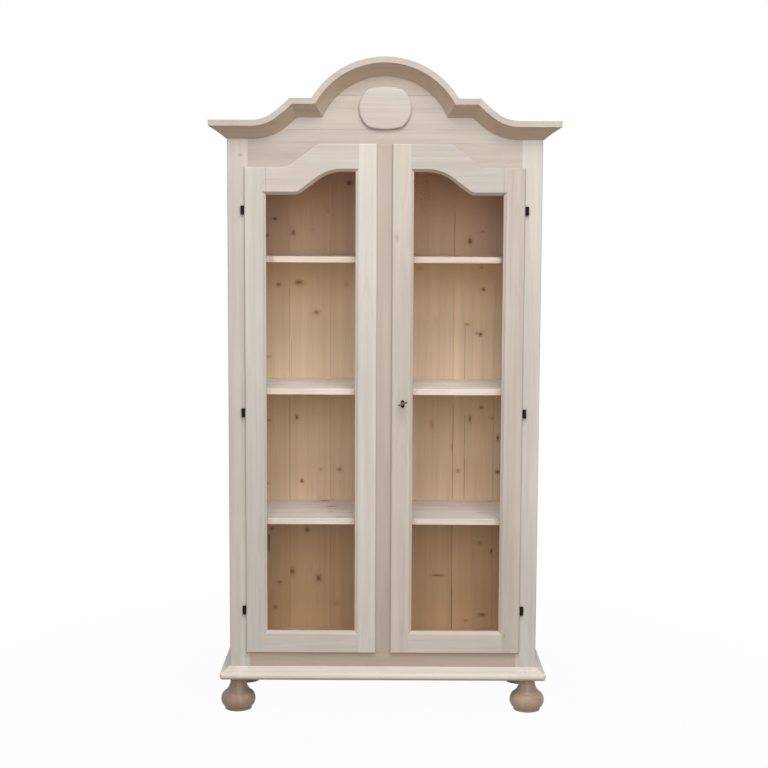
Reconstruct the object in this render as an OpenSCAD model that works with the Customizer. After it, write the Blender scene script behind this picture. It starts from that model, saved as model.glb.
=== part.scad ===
// Glazed two-door display cabinet with a broken-arch cornice, a moulded base and turned bun feet.
// Millimetres. X runs along the front, -Y is the front, Z is up, and the feet stand on Z = 0.

/* [Carcass] */
// Width over the two sides
body_w = 1016; // [960:2:1200]
// Depth from the face frame to the back
body_d = 400; // [340:5:520]
// Height from the base up to the flat ends of the cornice
body_h = 1790; // [1740:5:1900]
// Thickness of a side panel
side_t = 22; // [18:1:26]
// Thickness of the floor and roof boards
board_t = 20; // [16:1:24]
// Drop of the roof board below the ends of the cornice
roof_drop = 10; // [6:1:20]
// Thickness of the back boards
back_t = 12; // [10:1:16]
// Face width of one back board
back_board_w = 144.5; // [138:0.5:148]
// Sideways shift of the row of back boards
back_shift = 28; // [10:1:34]
// Depth of the rebate in a side that takes the back boards
back_lap = 10; // [6:1:12]

/* [Face frame] */
// Thickness of the face frame
frame_t = 25; // [23:1:30]
// Face width of a corner post
post_w = 67; // [62:1:76]
// Rounding of a post's outer edge
post_round = 4; // [2:1:8]
// Face width of the centre mullion
mullion_w = 72; // [64:1:84]
// Height of the bottom rail
bottom_rail_h = 59; // [50:1:80]
// Height of the glue joint between the two upper frieze boards above the ends of the cornice
upper_joint_rise = 82; // [75:1:100]
// Drop of the glue joint over the doors below the ends of the cornice
lower_joint_drop = 25; // [15:1:40]
// Length of the stub tenons of the face frame
frame_tenon_l = 25; // [15:1:30]
// Thickness of the stub tenons of the face frame
frame_tenon_t = 8; // [6:1:9]

/* [Base and feet] */
// Height of a foot
foot_h = 111; // [108:1:136]
// Widest radius of a foot's bun
foot_r = 57.5; // [54:0.5:60]
// Radius of the bun's outer curve, half the height of the bun
bun_r = 33; // [30:0.5:36]
// Narrowest radius of a foot's neck
neck_r = 26; // [23:0.5:28]
// Radius of the hollow between neck and bun
neck_hollow_r = 50; // [44:1:56]
// Depth of the crease where the hollow cuts into the bun
neck_crease = 1; // [0.5:0.25:2]
// Radius of a foot's top
foot_top_r = 30; // [28:0.5:34]
// Radius of a foot's spigot
spigot_r = 12; // [9:0.5:15]
// Length of a foot's spigot
spigot_l = 30; // [20:1:34]
// Distance from the side of the base to a foot's centre
foot_side_in = 57; // [50:1:62]
// Distance from the front of the base to a front foot's centre
foot_front_in = 64; // [45:1:80]
// Distance from the back to a rear foot's centre
foot_back_in = 58; // [48:1:80]
// Thickness of the base frame
base_h = 41; // [36:1:50]
// Reach of the base beyond the carcass
base_proj = 33; // [28:1:38]
// Radius of the base moulding's nose
base_nose_r = 14; // [11:0.5:16]
// Rounding of the base's corners, seen from above
base_corner_r = 12; // [6:1:16]
// Width of the base frame's side and rear rails
base_rail_w = 95; // [90:1:110]
// Width of the base frame's front rail
base_front_w = 90; // [70:1:110]
// Length of the stub tenons of the base frame
base_tenon_l = 20; // [12:1:20]

/* [Cornice] */
// Reach of the cornice beyond the carcass
crown_proj = 54; // [48:1:60]
// Height of the cornice moulding
crown_h = 55; // [50:1:62]
// Height of the cornice's plain upper band
fascia_h = 19; // [15:1:23]
// Step back under the plain band
fascia_step = 2; // [1:0.5:4]
// Thickness of the cornice along its lower edge
crown_edge = 3; // [2:0.5:6]
// Hollow of the cornice's slope
cove_sag = 1; // [0.5:0.25:3]
// Radius of the arch, to the top edge of the cornice
arch_r = 275; // [262:1:290]
// Rise of the arch's top above the ends of the cornice
arch_rise = 199; // [185:1:210]
// Rise of the shoulders above the ends of the cornice
shoulder_rise = 69; // [60:1:76]
// Distance from the middle to the foot of a ramp
ramp_foot = 426.5; // [420:0.5:434]
// Radius of the hollow at the foot of a ramp
ramp_r = 118; // [110:1:126]
// Radius of the long hollow up the ramp
ramp_upper_r = 458; // [400:2:520]
// Step from the cornice's top edge down to the boards behind it
crest_step = 5; // [3:1:8]

/* [Plaque] */
// Width of the plaque
plaque_w = 170; // [160:1:190]
// Height of the plaque
plaque_h = 137; // [130:1:144]
// Thickness of the plaque
plaque_t = 11; // [8:1:16]
// Height of the plaque's centre above the ends of the cornice
plaque_rise = 42; // [40:1:50]
// Radius of the plaque's top and bottom edges
plaque_long_r = 200; // [170:5:240]
// Radius of the plaque's sides
plaque_side_r = 76; // [74:1:79]
// Rounding of the plaque's front edge
plaque_round = 5; // [2:0.5:7]

/* [Doors] */
// Overlap of a door's lip on the face frame
lip = 11.5; // [9:0.5:13]
// Thickness of a door's lip
lip_t = 12; // [11:0.5:14]
// Depth of the door's tongue inside the face frame
tongue_t = 10; // [9:0.5:11]
// Clearance between the tongue and the opening
door_fit = 2; // [1.5:0.25:3]
// Gap between the lip and the face frame
seat_gap = 0.3; // [0.3:0.1:0.6]
// Rounding of a door's outer front edge
door_round = 5; // [3:0.5:8]
// Face width of a door stile, bevel included
stile_w = 69.5; // [65:0.5:75]
// Face height of a door's bottom rail, bevel included
door_rail_h = 74.5; // [68:0.5:84]
// Face height of a door's top rail over the hinge side, bevel included
top_rail_h = 89; // [80:1:98]
// Width of the bevel round the glass
bevel_w = 10; // [7:0.5:11]
// Depth of the bevel round the glass
bevel_d = 8; // [5:0.5:9]
// Drop of the doors' hinge side below the ends of the cornice
door_top_drop = 145; // [140:1:160]
// Length of the straight slope in a door's top
door_run = 95; // [85:1:98]
// Length of the flat part of a door's top beside its hinges
door_flat = 121.5; // [101:0.5:130]
// Radius of the hollow in a door's top
door_hollow_r = 48; // [42:1:52]
// Radius of the swell in a door's top
door_swell_r = 42; // [36:1:48]
// Length of the straight slope in the top of the glass opening
glass_run = 69; // [62:1:72]
// Length of the flat part of the glass opening beside the hinge stile
glass_flat = 93; // [80:1:98]
// Radius of the hollow in the glass opening
glass_hollow_r = 33; // [28:1:36]
// Radius of the swell in the glass opening
glass_swell_r = 130; // [120:1:134]
// Depth of the glass rebate into the frame
rebate = 8; // [6:0.5:9]
// Clearance round the glass
glass_fit = 1.5; // [1:0.25:2]
// Thickness of the glass
glass_t = 4; // [3:0.5:5]
// Length of the stub tenons of a door
door_tenon_l = 35; // [20:1:40]
// Thickness of the stub tenons of a door
door_tenon_t = 8; // [6:0.5:8]

/* [Shelves] */
// Thickness of a shelf
shelf_t = 20; // [16:1:24]
// Distance from the face frame's front to a shelf's front edge
shelf_front = 45; // [35:1:80]
// Rounding of a shelf's front edges
shelf_round = 2; // [1:0.5:4]
// Height of the lower shelf's underside above the floor board
lower_shelf_h = 450; // [400:1:500]
// Height of the middle shelf's underside above the floor board
middle_shelf_h = 884; // [800:1:940]
// Height of the upper shelf's underside above the floor board
upper_shelf_h = 1318; // [1250:1:1360]
// Gap between a shelf's end and the side
shelf_gap = 1; // [0.5:0.25:2]
// Radius of a shelf pin in its hole
pin_r = 2.5; // [2:0.25:3]
// Radius of the peg that a shelf rests on
peg_r = 3.5; // [3:0.25:5]
// Length of the peg that a shelf rests on
peg_l = 10; // [7:1:14]
// Depth of a shelf pin in the side
pin_l = 12; // [8:1:14]
// Distance from a shelf's front or back edge to its pins
pin_in = 40; // [25:1:60]

/* [Hinges] */
// Radius of a hinge barrel
barrel_r = 6; // [5.75:0.25:7]
// Length of a hinge barrel
barrel_l = 29; // [27:1:44]
// Gap between the barrel and the door's edge and the face frame
barrel_gap = 0.5; // [0.4:0.1:1]
// Gap between the two halves of a hinge
leaf_gap = 0.5; // [0.4:0.1:1]
// Radius of a hinge pin
hinge_pin_r = 2.75; // [2.5:0.25:3.25]
// Running clearance round a hinge pin
pin_fit = 0.05; // [0.02:0.01:0.08]
// Length of a hinge pin above its lower half
hinge_pin_l = 10.5; // [8:0.5:11]
// Radius of the threaded stems that hold the hinges
stem_r = 2.5; // [2:0.25:3]
// Depth of a stem in the wood
stem_l = 20; // [15:1:21]
// Distance from a door's lower corner to its lower hinge
hinge_foot = 144; // [100:1:220]
// Distance from a door's upper corner to its upper hinge
hinge_head = 138; // [100:1:220]

/* [Lock and bolts] */
// Height of the key above the door's bottom edge
key_h = 836; // [760:1:860]
// Distance from the door's meeting edge to the key
key_in = 36.5; // [34:0.5:39]
// Width of the keyhole insert
insert_w = 12; // [11:0.5:14]
// Height of the keyhole insert
insert_h = 25; // [24:0.5:30]
// Depth of the keyhole insert in the wood
insert_d = 6; // [4:0.5:8]
// Stand of the keyhole insert above the wood
insert_proud = 0.8; // [0.4:0.1:1.5]
// Drop of the keyhole insert's centre below the key
insert_drop = 2.5; // [1.5:0.25:3]
// Radius of the key's shaft
shaft_r = 3; // [2.5:0.25:3.25]
// Reach of the key's bit from its axis
bit_r = 8.5; // [7.5:0.25:9]
// Thickness of the key's bit
bit_t = 2.6; // [2:0.1:3]
// Distance from the door's face to the key's bow
bow_gap = 13; // [8:1:18]
// Length of the key's bow along the shaft
bow_l = 22; // [18:1:24]
// Width of the key's bow
bow_w = 33; // [28:1:36]
// Thickness of the key's bow
bow_t = 3.2; // [2.5:0.1:4]
// Lean of the key's bow from level
bow_lean = 21; // [0:1:45]
// Width of the lock's case
case_w = 43; // [40:0.5:45]
// Height of the lock's case
case_h = 60; // [54:1:70]
// Depth of the lock's case
case_d = 14; // [13.5:0.25:14.5]
// Wall of the lock's case
case_wall = 1.4; // [1.2:0.1:1.5]
// Height of the lock's bolt
bolt_h = 17; // [14:0.5:18]
// Travel of the lock's bolt
bolt_throw = 10; // [9:0.5:10]
// Working clearance in the lock and the slide bolts
slide_fit = 0.3; // [0.25:0.05:0.4]
// Radius of the left door's slide bolts
rod_r = 3; // [2.5:0.25:3.25]
// Length of a slide bolt
rod_l = 90; // [80:1:120]
// Travel of a slide bolt
rod_throw = 14; // [10:0.5:16]

/* [Hidden] */
$fn = 72;

lime = [0.87, 0.83, 0.77];
lime_warm = [0.85, 0.79, 0.72];
lime_shade = [0.74, 0.66, 0.58];
pine = [0.82, 0.68, 0.52];
shelf_wood = [0.91, 0.85, 0.78];
black_steel = [0.12, 0.11, 0.1];
steel = [0.62, 0.61, 0.6];
pane = [0.85, 0.93, 0.92, 0.25];

eps = 1;
wood_fit = 0.1;

half_w = body_w / 2;
inner_x = half_w - side_t;
base_top = foot_h + base_h;
end_z = base_top + body_h;
floor_z = base_top + board_t;
front_reach = max(crown_proj, base_proj);
face_y = (front_reach - body_d) / 2;
wall_y = body_d - back_t;
side_top = end_z - crest_step;

post_x = half_w - post_w;
mullion_x = mullion_w / 2;
rail_top = base_top + bottom_rail_h;
tenon_y = (frame_t - frame_tenon_t) / 2;

door_in = mullion_x - lip;
door_out = post_x + lip;
door_low = rail_top - lip;
door_high = end_z - door_top_drop;
sight_in = door_in + stile_w;
sight_out = door_out - stile_w;
sight_low = door_low + door_rail_h;
sight_high = door_high - top_rail_h;

// The sweeps and ramps slope by 3 in 4: across the slope, and down it
square_to_slope = [0.6, 0.8];
down_slope = [0.8, -0.6];

// An S-shaped edge: where its low flat ends, the height there, straight slope, hollow and swell radius
door_s = [door_out - door_flat, door_high, door_run, door_hollow_r, door_swell_r];
glass_s = [sight_out - glass_flat, sight_high, glass_run, glass_hollow_r, glass_swell_r];
door_rise = s_rise(door_s);
glass_rise = s_rise(glass_s);

axis_x = door_out + barrel_gap + barrel_r;
axis_y = -barrel_r - barrel_gap;
hinge_low = door_low + hinge_foot;
hinge_high = door_high - hinge_head;
hinge_heights = [hinge_low, (hinge_low + hinge_high) / 2, hinge_high];

key_x = door_in + key_in;
key_z = door_low + key_h;
case_x = door_in + lip + door_fit + 2;
case_mid_x = case_x + case_w / 2;
bolt_y0 = tongue_t + case_wall + slide_fit;
bit_y0 = tongue_t + 7;
bit_y1 = tongue_t + case_d - case_wall - slide_fit;
bolt_y1 = bit_y0 - 2 * slide_fit;
bolt_nose = case_x + slide_fit;
bolt_tail = case_x + case_w - case_wall - slide_fit - 1;
shaft_hole = shaft_r + slide_fit;

rod_x = door_in + stile_w / 2 - 5;
rod_y = tongue_t + 6;
rod_guide_h = 8;
rod_plate_l = rod_l - 24;
rod_plate_w = 18;
rod_plate_t = 1.5;
upper_rod_z = door_high + door_rise - lip - door_fit - 1;
lower_rod_z = door_low + lip + door_fit + 1;

shelf_heights = [floor_z + lower_shelf_h, floor_z + middle_shelf_h, floor_z + upper_shelf_h];
shelf_back = wall_y - shelf_gap;

function s_rise(s) = 0.6 * s[2] + 0.2 * (s[3] + s[4]);
// The centres of the hollow and of the swell
function s_low(s) = [s[0], s[1] + s[3]];
function s_high(s) = s_low(s) - (s[3] + s[4]) * square_to_slope - s[2] * down_slope;

// Helpers for shapes drawn on the front, where a point is [x, height]

module on_body() {
    translate([0, face_y, 0]) children();
}

module left_of() {
    mirror([1, 0, 0]) children();
}

// A flat shape on the front becomes a slab from depth y0 to depth y1 behind the face frame's front
module slab(y0, y1) {
    translate([0, y1, 0]) rotate([90, 0, 0]) linear_extrude(y1 - y0) children();
}

module block(low, high) {
    translate(low) cube(high - low);
}

// A section is drawn as [distance to the right of the path, distance towards the front]
module along_line(from, to) {
    run = to - from;
    translate([from[0], 0, from[1]])
        rotate([0, -atan2(run[1], run[0]), 0]) rotate([0, 90, 0])
            linear_extrude(norm(run)) mirror([0, 1]) children();
}

// Anticlockwise between two directions of the upper (start = 0) or lower (start = 180) half circle;
// inside is 1 where the path bends towards its right
module along_arc(centre, radius, start, from, to, inside) {
    translate([centre[0], 0, centre[1]]) intersection() {
        rotate([90, 0, 0]) rotate([0, 0, start])
            rotate_extrude(angle = 100, $fn = 288) translate([radius, 0]) mirror([inside, 0]) children();
        slab(-100, 100) polygon([[0, 0], 900 * from, 900 * to]);
    }
}

// The flat region under an S-shaped edge, with all its sides drawn in by t
module under_s(x0, x1, z0, s, t) {
    low = s_low(s);
    high = s_high(s);
    top = s[1] + s_rise(s) - t;
    difference() {
        union() {
            polygon([[x0 + t, z0 + t], [x1 - t, z0 + t], [x1 - t, s[1] - t], [s[0], s[1] - t],
                low - (s[3] + t) * square_to_slope, high + (s[4] - t) * square_to_slope,
                [high[0], top], [x0 + t, top]]);
            translate(high) intersection() {
                circle(s[4] - t);
                square(s[4] - t);
            }
        }
        translate(low) intersection() {
            circle(s[3] + t);
            translate([-s[3] - t, -s[3] - t]) square(s[3] + t);
        }
    }
}

module door_outline(t) {
    under_s(door_in, door_out, door_low, door_s, t);
}

module glass_outline(t) {
    under_s(sight_in, sight_out, sight_low, glass_s, t);
}

// A section swept along an S-shaped edge from its high end to its low end; flip = 1 sweeps the other side
module sweep_s(x0, x1, s, flip) {
    low = s_low(s);
    high = s_high(s);
    top = s[1] + s_rise(s);
    start = [x0, top];
    bend = [high[0], top];
    swell = high + s[4] * square_to_slope;
    hollow = low - s[3] * square_to_slope;
    run_out = [s[0], s[1]];
    end = [x1, s[1]];
    if (flip == 1) {
        along_line(bend, start) children();
        along_line(hollow, swell) children();
        along_line(end, run_out) children();
    } else {
        along_line(start, bend) children();
        along_line(swell, hollow) children();
        along_line(run_out, end) children();
    }
    along_arc(high, s[4], 0, square_to_slope, [0, 1], 1 - flip) children();
    along_arc(low, s[3], 180, -square_to_slope, [0, -1], flip) children();
}

// Doors, drawn for the right-hand side

module round_section() {
    difference() {
        translate([-eps, lip_t - door_round]) square(door_round + eps);
        translate([door_round, lip_t - door_round]) circle(door_round);
    }
}

module bevel_section() {
    k = bevel_d / bevel_w;
    polygon([[-eps, lip_t - bevel_d - k * eps], [bevel_w + eps / k, lip_t + eps], [-eps, lip_t + eps]]);
}

// Where the bevel of a stile ends in mitres against the bevels of the rails
module stile_bevel_zone(outer) {
    x = outer ? sight_out : sight_in;
    top = outer ? sight_high : sight_high + glass_rise;
    dx = outer ? bevel_w : -bevel_w;
    polygon([[x, sight_low], [x + dx, sight_low - bevel_w], [x + dx, top + bevel_w], [x, top]]);
}

module hinge_stile_zone() {
    x = sight_out + bevel_w;
    translate([x, door_low - eps]) square([door_out - x + eps, door_high - door_low + 2 * eps]);
    stile_bevel_zone(true);
}

module lock_stile_zone() {
    x = sight_in - bevel_w;
    translate([door_in - eps, door_low - eps])
        square([x - door_in + eps, door_high + door_rise - door_low + 2 * eps]);
    stile_bevel_zone(false);
}

module rail_zone(z0, z1) {
    difference() {
        translate([sight_in - bevel_w, z0]) square([sight_out - sight_in + 2 * bevel_w, z1 - z0]);
        stile_bevel_zone(true);
        stile_bevel_zone(false);
    }
}

// The lipped and rebated slab of a door inside a zone
module door_member() {
    difference() {
        union() {
            slab(-lip_t, -seat_gap) intersection() {
                door_outline(0);
                children();
            }
            slab(-seat_gap, tongue_t) intersection() {
                door_outline(lip + door_fit);
                children();
            }
        }
        slab(-lip_t - eps, eps) glass_outline(0);
        slab(0, tongue_t + eps) glass_outline(-rebate);
    }
}

module door_tenon(x0, x1, z0, z1, fit) {
    y0 = -lip_t + (lip_t + tongue_t - door_tenon_t) / 2 - 2;
    block([x0 - fit, y0 - fit, z0 - fit], [x1 + fit, y0 + door_tenon_t + fit, z1 + fit]);
}

// The four tenons of a door: bottom and top, at the hinge stile and at the lock stile
module hinge_side_tenons(fit) {
    x = sight_out + bevel_w;
    door_tenon(x, x + door_tenon_l, door_low + 16, sight_low - bevel_w - 8, fit);
    door_tenon(x, x + door_tenon_l, sight_high + bevel_w + 8, door_high - 16, fit);
}

module lock_side_tenons(fit) {
    x = sight_in - bevel_w;
    door_tenon(x - door_tenon_l, x, door_low + 16, sight_low - bevel_w - 8, fit);
    door_tenon(x - door_tenon_l, x, sight_high + glass_rise + bevel_w + 8, door_high + door_rise - 16, fit);
}

module hinge_stile() {
    difference() {
        door_member() hinge_stile_zone();
        along_line([door_s[0] - eps, door_high], [door_out + eps, door_high]) round_section();
        along_line([door_out, door_high + eps], [door_out, door_low - eps]) round_section();
        along_line([door_out + eps, door_low], [sight_in, door_low]) round_section();
        along_line([sight_out, sight_low - bevel_w], [sight_out, sight_high + bevel_w]) bevel_section();
        hinge_side_tenons(wood_fit);
        for (z = hinge_heights)
            translate([door_out - stem_l - wood_fit, axis_y, z + barrel_l / 4])
                rotate([0, 90, 0]) cylinder(h = stem_l + 2 * eps, r = stem_r + wood_fit);
    }
}

module keyhole(r, slot_w, drop) {
    translate([key_x, key_z]) {
        circle(r);
        translate([-slot_w / 2, -drop]) square([slot_w, drop]);
    }
}

module insert_outline(fit) {
    r = insert_w / 2;
    translate([key_x, key_z - insert_drop]) {
        for (s = [-1, 1])
            translate([0, s * (insert_h / 2 - r)]) circle(r + fit);
        translate([-r - fit, r - insert_h / 2]) square([insert_w + 2 * fit, insert_h - insert_w]);
    }
}

module lock_stile(keyed) {
    difference() {
        door_member() lock_stile_zone();
        along_line([door_in - eps, door_high + door_rise], [s_high(door_s)[0], door_high + door_rise])
            round_section();
        along_line([door_in, door_low - eps], [door_in, door_high + door_rise + eps]) round_section();
        along_line([sight_out, door_low], [door_in - eps, door_low]) round_section();
        along_line([sight_in, sight_high + glass_rise + bevel_w], [sight_in, sight_low - bevel_w])
            bevel_section();
        lock_side_tenons(wood_fit);
        if (keyed) {
            slab(-lip_t - eps, insert_d - lip_t) insert_outline(wood_fit);
            slab(-lip_t - eps, tongue_t + eps) keyhole(shaft_hole + 0.9, bit_t + 1.4, bit_r + 4);
        }
    }
}

module bottom_door_rail() {
    difference() {
        door_member() rail_zone(door_low - eps, sight_low + eps);
        along_line([sight_out + stile_w, door_low], [sight_in - stile_w, door_low]) round_section();
        along_line([sight_in - stile_w, sight_low], [sight_out + stile_w, sight_low]) bevel_section();
    }
    hinge_bottom_tenon();
    lock_bottom_tenon();
}

module hinge_bottom_tenon() {
    intersection() {
        hinge_side_tenons(0);
        block([sight_in, -lip_t, 0], [door_out, tongue_t, sight_low]);
    }
}

module lock_bottom_tenon() {
    intersection() {
        lock_side_tenons(0);
        block([door_in, -lip_t, 0], [sight_out, tongue_t, sight_low]);
    }
}

module top_door_rail() {
    difference() {
        door_member() rail_zone(sight_high - eps, door_high + door_rise + eps);
        sweep_s(door_in - eps, door_out + eps, door_s, 0) round_section();
        sweep_s(sight_in - stile_w, sight_out + stile_w, glass_s, 1) bevel_section();
    }
    intersection() {
        union() {
            hinge_side_tenons(0);
            lock_side_tenons(0);
        }
        block([door_in, -lip_t, sight_high], [door_out, tongue_t, door_high + door_rise]);
    }
}

module door_glass() {
    slab(0, glass_t) glass_outline(glass_fit - rebate);
}

// Four beads, with a small gap between their mitred ends
module glazing_beads() {
    gap = 0.3;
    x_mid = (sight_in + sight_out) / 2;
    reach = (sight_out - sight_in) / 2;
    top = sight_high + glass_rise;
    difference() {
        slab(glass_t, tongue_t) difference() {
            glass_outline(0.3 - rebate);
            glass_outline(-1);
        }
        for (corner = [[sight_in, sight_low, 45], [sight_out, sight_low, 135],
                [sight_in, top, -45], [sight_out, sight_high, -135]])
            translate([corner[0], 0, corner[1]]) rotate([0, -corner[2], 0])
                block([-2 * rebate, glass_t - eps, -gap], [2 * rebate, tongue_t + eps, gap]);
    }
}

module hinge_sockets() {
    for (z = hinge_heights)
        translate([axis_x, axis_y, z]) {
            difference() {
                hinge_barrel();
                translate([0, 0, -eps]) cylinder(h = hinge_pin_l + leaf_gap + 1 + eps, r = hinge_pin_r + pin_fit);
            }
            difference() {
                translate([-barrel_r - barrel_gap - stem_l, 0, barrel_l / 4])
                    rotate([0, 90, 0]) cylinder(h = barrel_gap + stem_l + 1, r = stem_r);
                cylinder(h = barrel_l, r = barrel_r - 1, center = true);
            }
        }
}

// One half of a barrel, standing on the hinge's middle plane, with an eased end
module hinge_barrel() {
    ease = 1.5;
    translate([0, 0, leaf_gap / 2]) rotate_extrude() {
        square([barrel_r, barrel_l / 2 - leaf_gap / 2 - ease]);
        square([barrel_r - ease, barrel_l / 2 - leaf_gap / 2]);
        translate([barrel_r - ease, barrel_l / 2 - leaf_gap / 2 - ease]) circle(ease);
    }
}

module hinge_pin_set() {
    for (z = hinge_heights)
        translate([axis_x, axis_y, z]) {
            mirror([0, 0, 1]) hinge_barrel();
            translate([0, 0, -barrel_l / 4]) cylinder(h = barrel_l / 4 + hinge_pin_l, r = hinge_pin_r);
            translate([0, 0, -barrel_l / 4]) rotate([-90, 0, 0])
                cylinder(h = barrel_r + barrel_gap + stem_l, r = stem_r);
        }
}

// Lock and slide bolts, drawn for the right-hand side

module lock_body() {
    y0 = tongue_t;
    y1 = tongue_t + case_d;
    back = y1 - case_wall;
    z0 = key_z - case_h / 2;
    difference() {
        block([case_x, y0, z0], [case_x + case_w, y1, z0 + case_h]);
        block([case_x - eps, bolt_y0 - slide_fit, key_z - bolt_h / 2 - slide_fit],
            [case_x + case_w - case_wall, bolt_y1 + slide_fit, key_z + bolt_h / 2 + slide_fit]);
        translate([key_x, bit_y0 - 2 * slide_fit, key_z]) rotate([-90, 0, 0])
            cylinder(h = bit_y1 - bit_y0 + 3 * slide_fit, r = bit_r + 1);
        slab(y0 - eps, bolt_y0) keyhole(shaft_hole + 0.9, bit_t + 1.4, bit_r + 4);
        translate([key_x, back - eps, key_z]) rotate([-90, 0, 0])
            cylinder(h = case_wall + 2 * eps, r = shaft_r - 1 + pin_fit);
    }
}

module lock_bolt_body() {
    slot = shaft_hole + slide_fit;
    difference() {
        block([bolt_nose, bolt_y0, key_z - bolt_h / 2], [bolt_tail, bolt_y1, key_z + bolt_h / 2]);
        slab(bolt_y0 - eps, bolt_y1 + eps) {
            translate([key_x, key_z]) circle(slot);
            translate([key_x + bolt_throw, key_z]) circle(slot);
            translate([key_x, key_z - slot]) square([bolt_throw, 2 * slot]);
        }
    }
}

module keyhole_insert() {
    difference() {
        slab(-lip_t - insert_proud, insert_d - lip_t) insert_outline(0);
        slab(-lip_t - insert_proud - eps, insert_d) keyhole(shaft_hole, bit_t + 0.8, bit_r + 1);
    }
}

module key_body() {
    bow_y = -lip_t - bow_gap;
    end_r = bow_l / 2;
    ring = 5.5;
    translate([key_x, 0, key_z]) rotate([0, -bow_lean, 0]) {
        translate([0, bow_y + 2, 0]) rotate([-90, 0, 0])
            cylinder(h = bit_y1 - bow_y - 2, r = shaft_r);
        translate([0, bit_y1 - eps, 0]) rotate([-90, 0, 0])
            cylinder(h = tongue_t + case_d - bit_y1 + eps, r = shaft_r - 1);
        translate([0, bow_y, 0]) rotate([-90, 0, 0]) cylinder(h = 4, r = shaft_r + 1.5);
        block([0, bit_y0, -bit_t / 2], [bit_r, bit_y1 - 0.5, bit_t / 2]);
        translate([0, bow_y + 1.5 - end_r, -bow_t / 2]) linear_extrude(bow_t) difference() {
            bow_outline(end_r, bow_w / 2 - end_r);
            bow_outline(end_r - ring, bow_w / 2 - end_r);
        }
    }
}

module bow_outline(r, x) {
    for (s = [-1, 1])
        translate([s * x, 0]) circle(r);
    translate([-x, -r]) square([2 * x, 2 * r]);
}

// A slide bolt that rises from height z towards up = 1, or drops towards up = -1
module rod_at(z, up) {
    translate([rod_x, rod_y, z]) scale([1, 1, up]) {
        translate([0, 0, -rod_l]) cylinder(h = rod_l, r = rod_r);
        translate([0, 0, -rod_l / 2 - rod_throw / 2]) rotate([-90, 0, 0]) cylinder(h = 8.5, r = 2.5);
    }
}

module rod_guide_at(z, up) {
    translate([rod_x, tongue_t, z]) scale([1, 1, up]) translate([0, 0, -12]) difference() {
        union() {
            block([-rod_plate_w / 2, 0, -rod_plate_l], [rod_plate_w / 2, rod_plate_t, 0]);
            for (drop = [rod_guide_h, rod_plate_l])
                block([-rod_r - 2.5, 0, -drop], [rod_r + 2.5, 6 + rod_r + 2, rod_guide_h - drop]);
        }
        translate([0, 6, -rod_plate_l - eps]) cylinder(h = rod_plate_l + 2 * eps, r = rod_r + slide_fit);
    }
}

// Carcass

module side_panel() {
    difference() {
        block([inner_x, frame_t, base_top], [half_w, body_d, side_top]);
        block([inner_x - eps, wall_y, base_top - eps], [inner_x + back_lap, body_d + eps, side_top + eps]);
        for (z = shelf_heights)
            for (y = [shelf_front + pin_in, shelf_back - pin_in])
                translate([inner_x - eps, y, z - peg_r]) rotate([0, 90, 0])
                    cylinder(h = pin_l + wood_fit + eps, r = pin_r + pin_fit);
    }
}

module frame_tenon(x0, x1, z0, z1, fit) {
    block([x0 - fit, tenon_y - fit, z0 - fit], [x1 + fit, tenon_y + frame_tenon_t + fit, z1 + fit]);
}

module rail_tenons(fit) {
    frame_tenon(post_x, post_x + frame_tenon_l, base_top + 10, rail_top - 9, fit);
    frame_tenon(post_x, post_x + frame_tenon_l, door_high + 20, end_z - lower_joint_drop - 10, fit);
}

module mullion_tenon(z0, z1, fit) {
    frame_tenon(15 - mullion_x, mullion_x - 15, z0, z1, fit);
}

module corner_post() {
    difference() {
        translate([0, 0, base_top]) linear_extrude(side_top - base_top) {
            translate([post_x, 0]) square([post_w - post_round, frame_t]);
            translate([post_x, post_round]) square([post_w, frame_t - post_round]);
            translate([half_w - post_round, post_round]) circle(post_round);
        }
        rail_tenons(wood_fit);
        for (z = hinge_heights)
            translate([axis_x, -eps, z - barrel_l / 4]) rotate([-90, 0, 0])
                cylinder(h = stem_l + eps + wood_fit, r = stem_r + wood_fit);
    }
}

module mullion() {
    z1 = door_high + door_rise - lip;
    difference() {
        block([-mullion_x, 0, rail_top], [mullion_x, frame_t, z1]);
        block([bolt_nose - bolt_throw - 1, bolt_y0 - 1, key_z - bolt_h / 2 - 1],
            [mullion_x + eps, bolt_y1 + 1, key_z + bolt_h / 2 + 1]);
    }
    mullion_tenon(rail_top - frame_tenon_l, rail_top, 0);
    mullion_tenon(z1, z1 + frame_tenon_l, 0);
}

module bottom_frame_rail() {
    difference() {
        block([-post_x, 0, base_top], [post_x, frame_t, rail_top]);
        mullion_tenon(rail_top - frame_tenon_l, rail_top + eps, wood_fit);
        left_of() translate([rod_x, rod_y, rail_top - rod_throw])
            cylinder(h = rod_throw + eps, r = rod_r + slide_fit);
    }
    frame_tenon(post_x, post_x + frame_tenon_l, base_top + 10, rail_top - 9, 0);
    left_of() frame_tenon(post_x, post_x + frame_tenon_l, base_top + 10, rail_top - 9, 0);
}

// Centres of the two hollows of the right-hand ramp, with heights measured from the cornice's ends
ramp_low = [ramp_foot, ramp_r];
ramp_high = ramp_low + (ramp_upper_r - ramp_r) * square_to_slope;

// The outline of the boards behind the cornice, drawn in by t from the cornice's top edge
module crest_outline(t) {
    r = ramp_r + t;
    low = -lower_joint_drop - eps;
    right = [[post_x, low], [post_x, -t], [ramp_foot, -t], ramp_low - r * square_to_slope, shoulder_end(t)];
    left = [for (i = [len(right) - 1:-1:0]) [-right[i][0], right[i][1]]];
    difference() {
        union() {
            polygon(concat(right, left));
            translate([0, arch_rise - arch_r]) circle(arch_r - t, $fn = 288);
        }
        for (side = [0, 1])
            mirror([side, 0]) translate(ramp_low) intersection() {
                circle(r);
                translate([-r, -r]) square(r);
            }
    }
}

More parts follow.
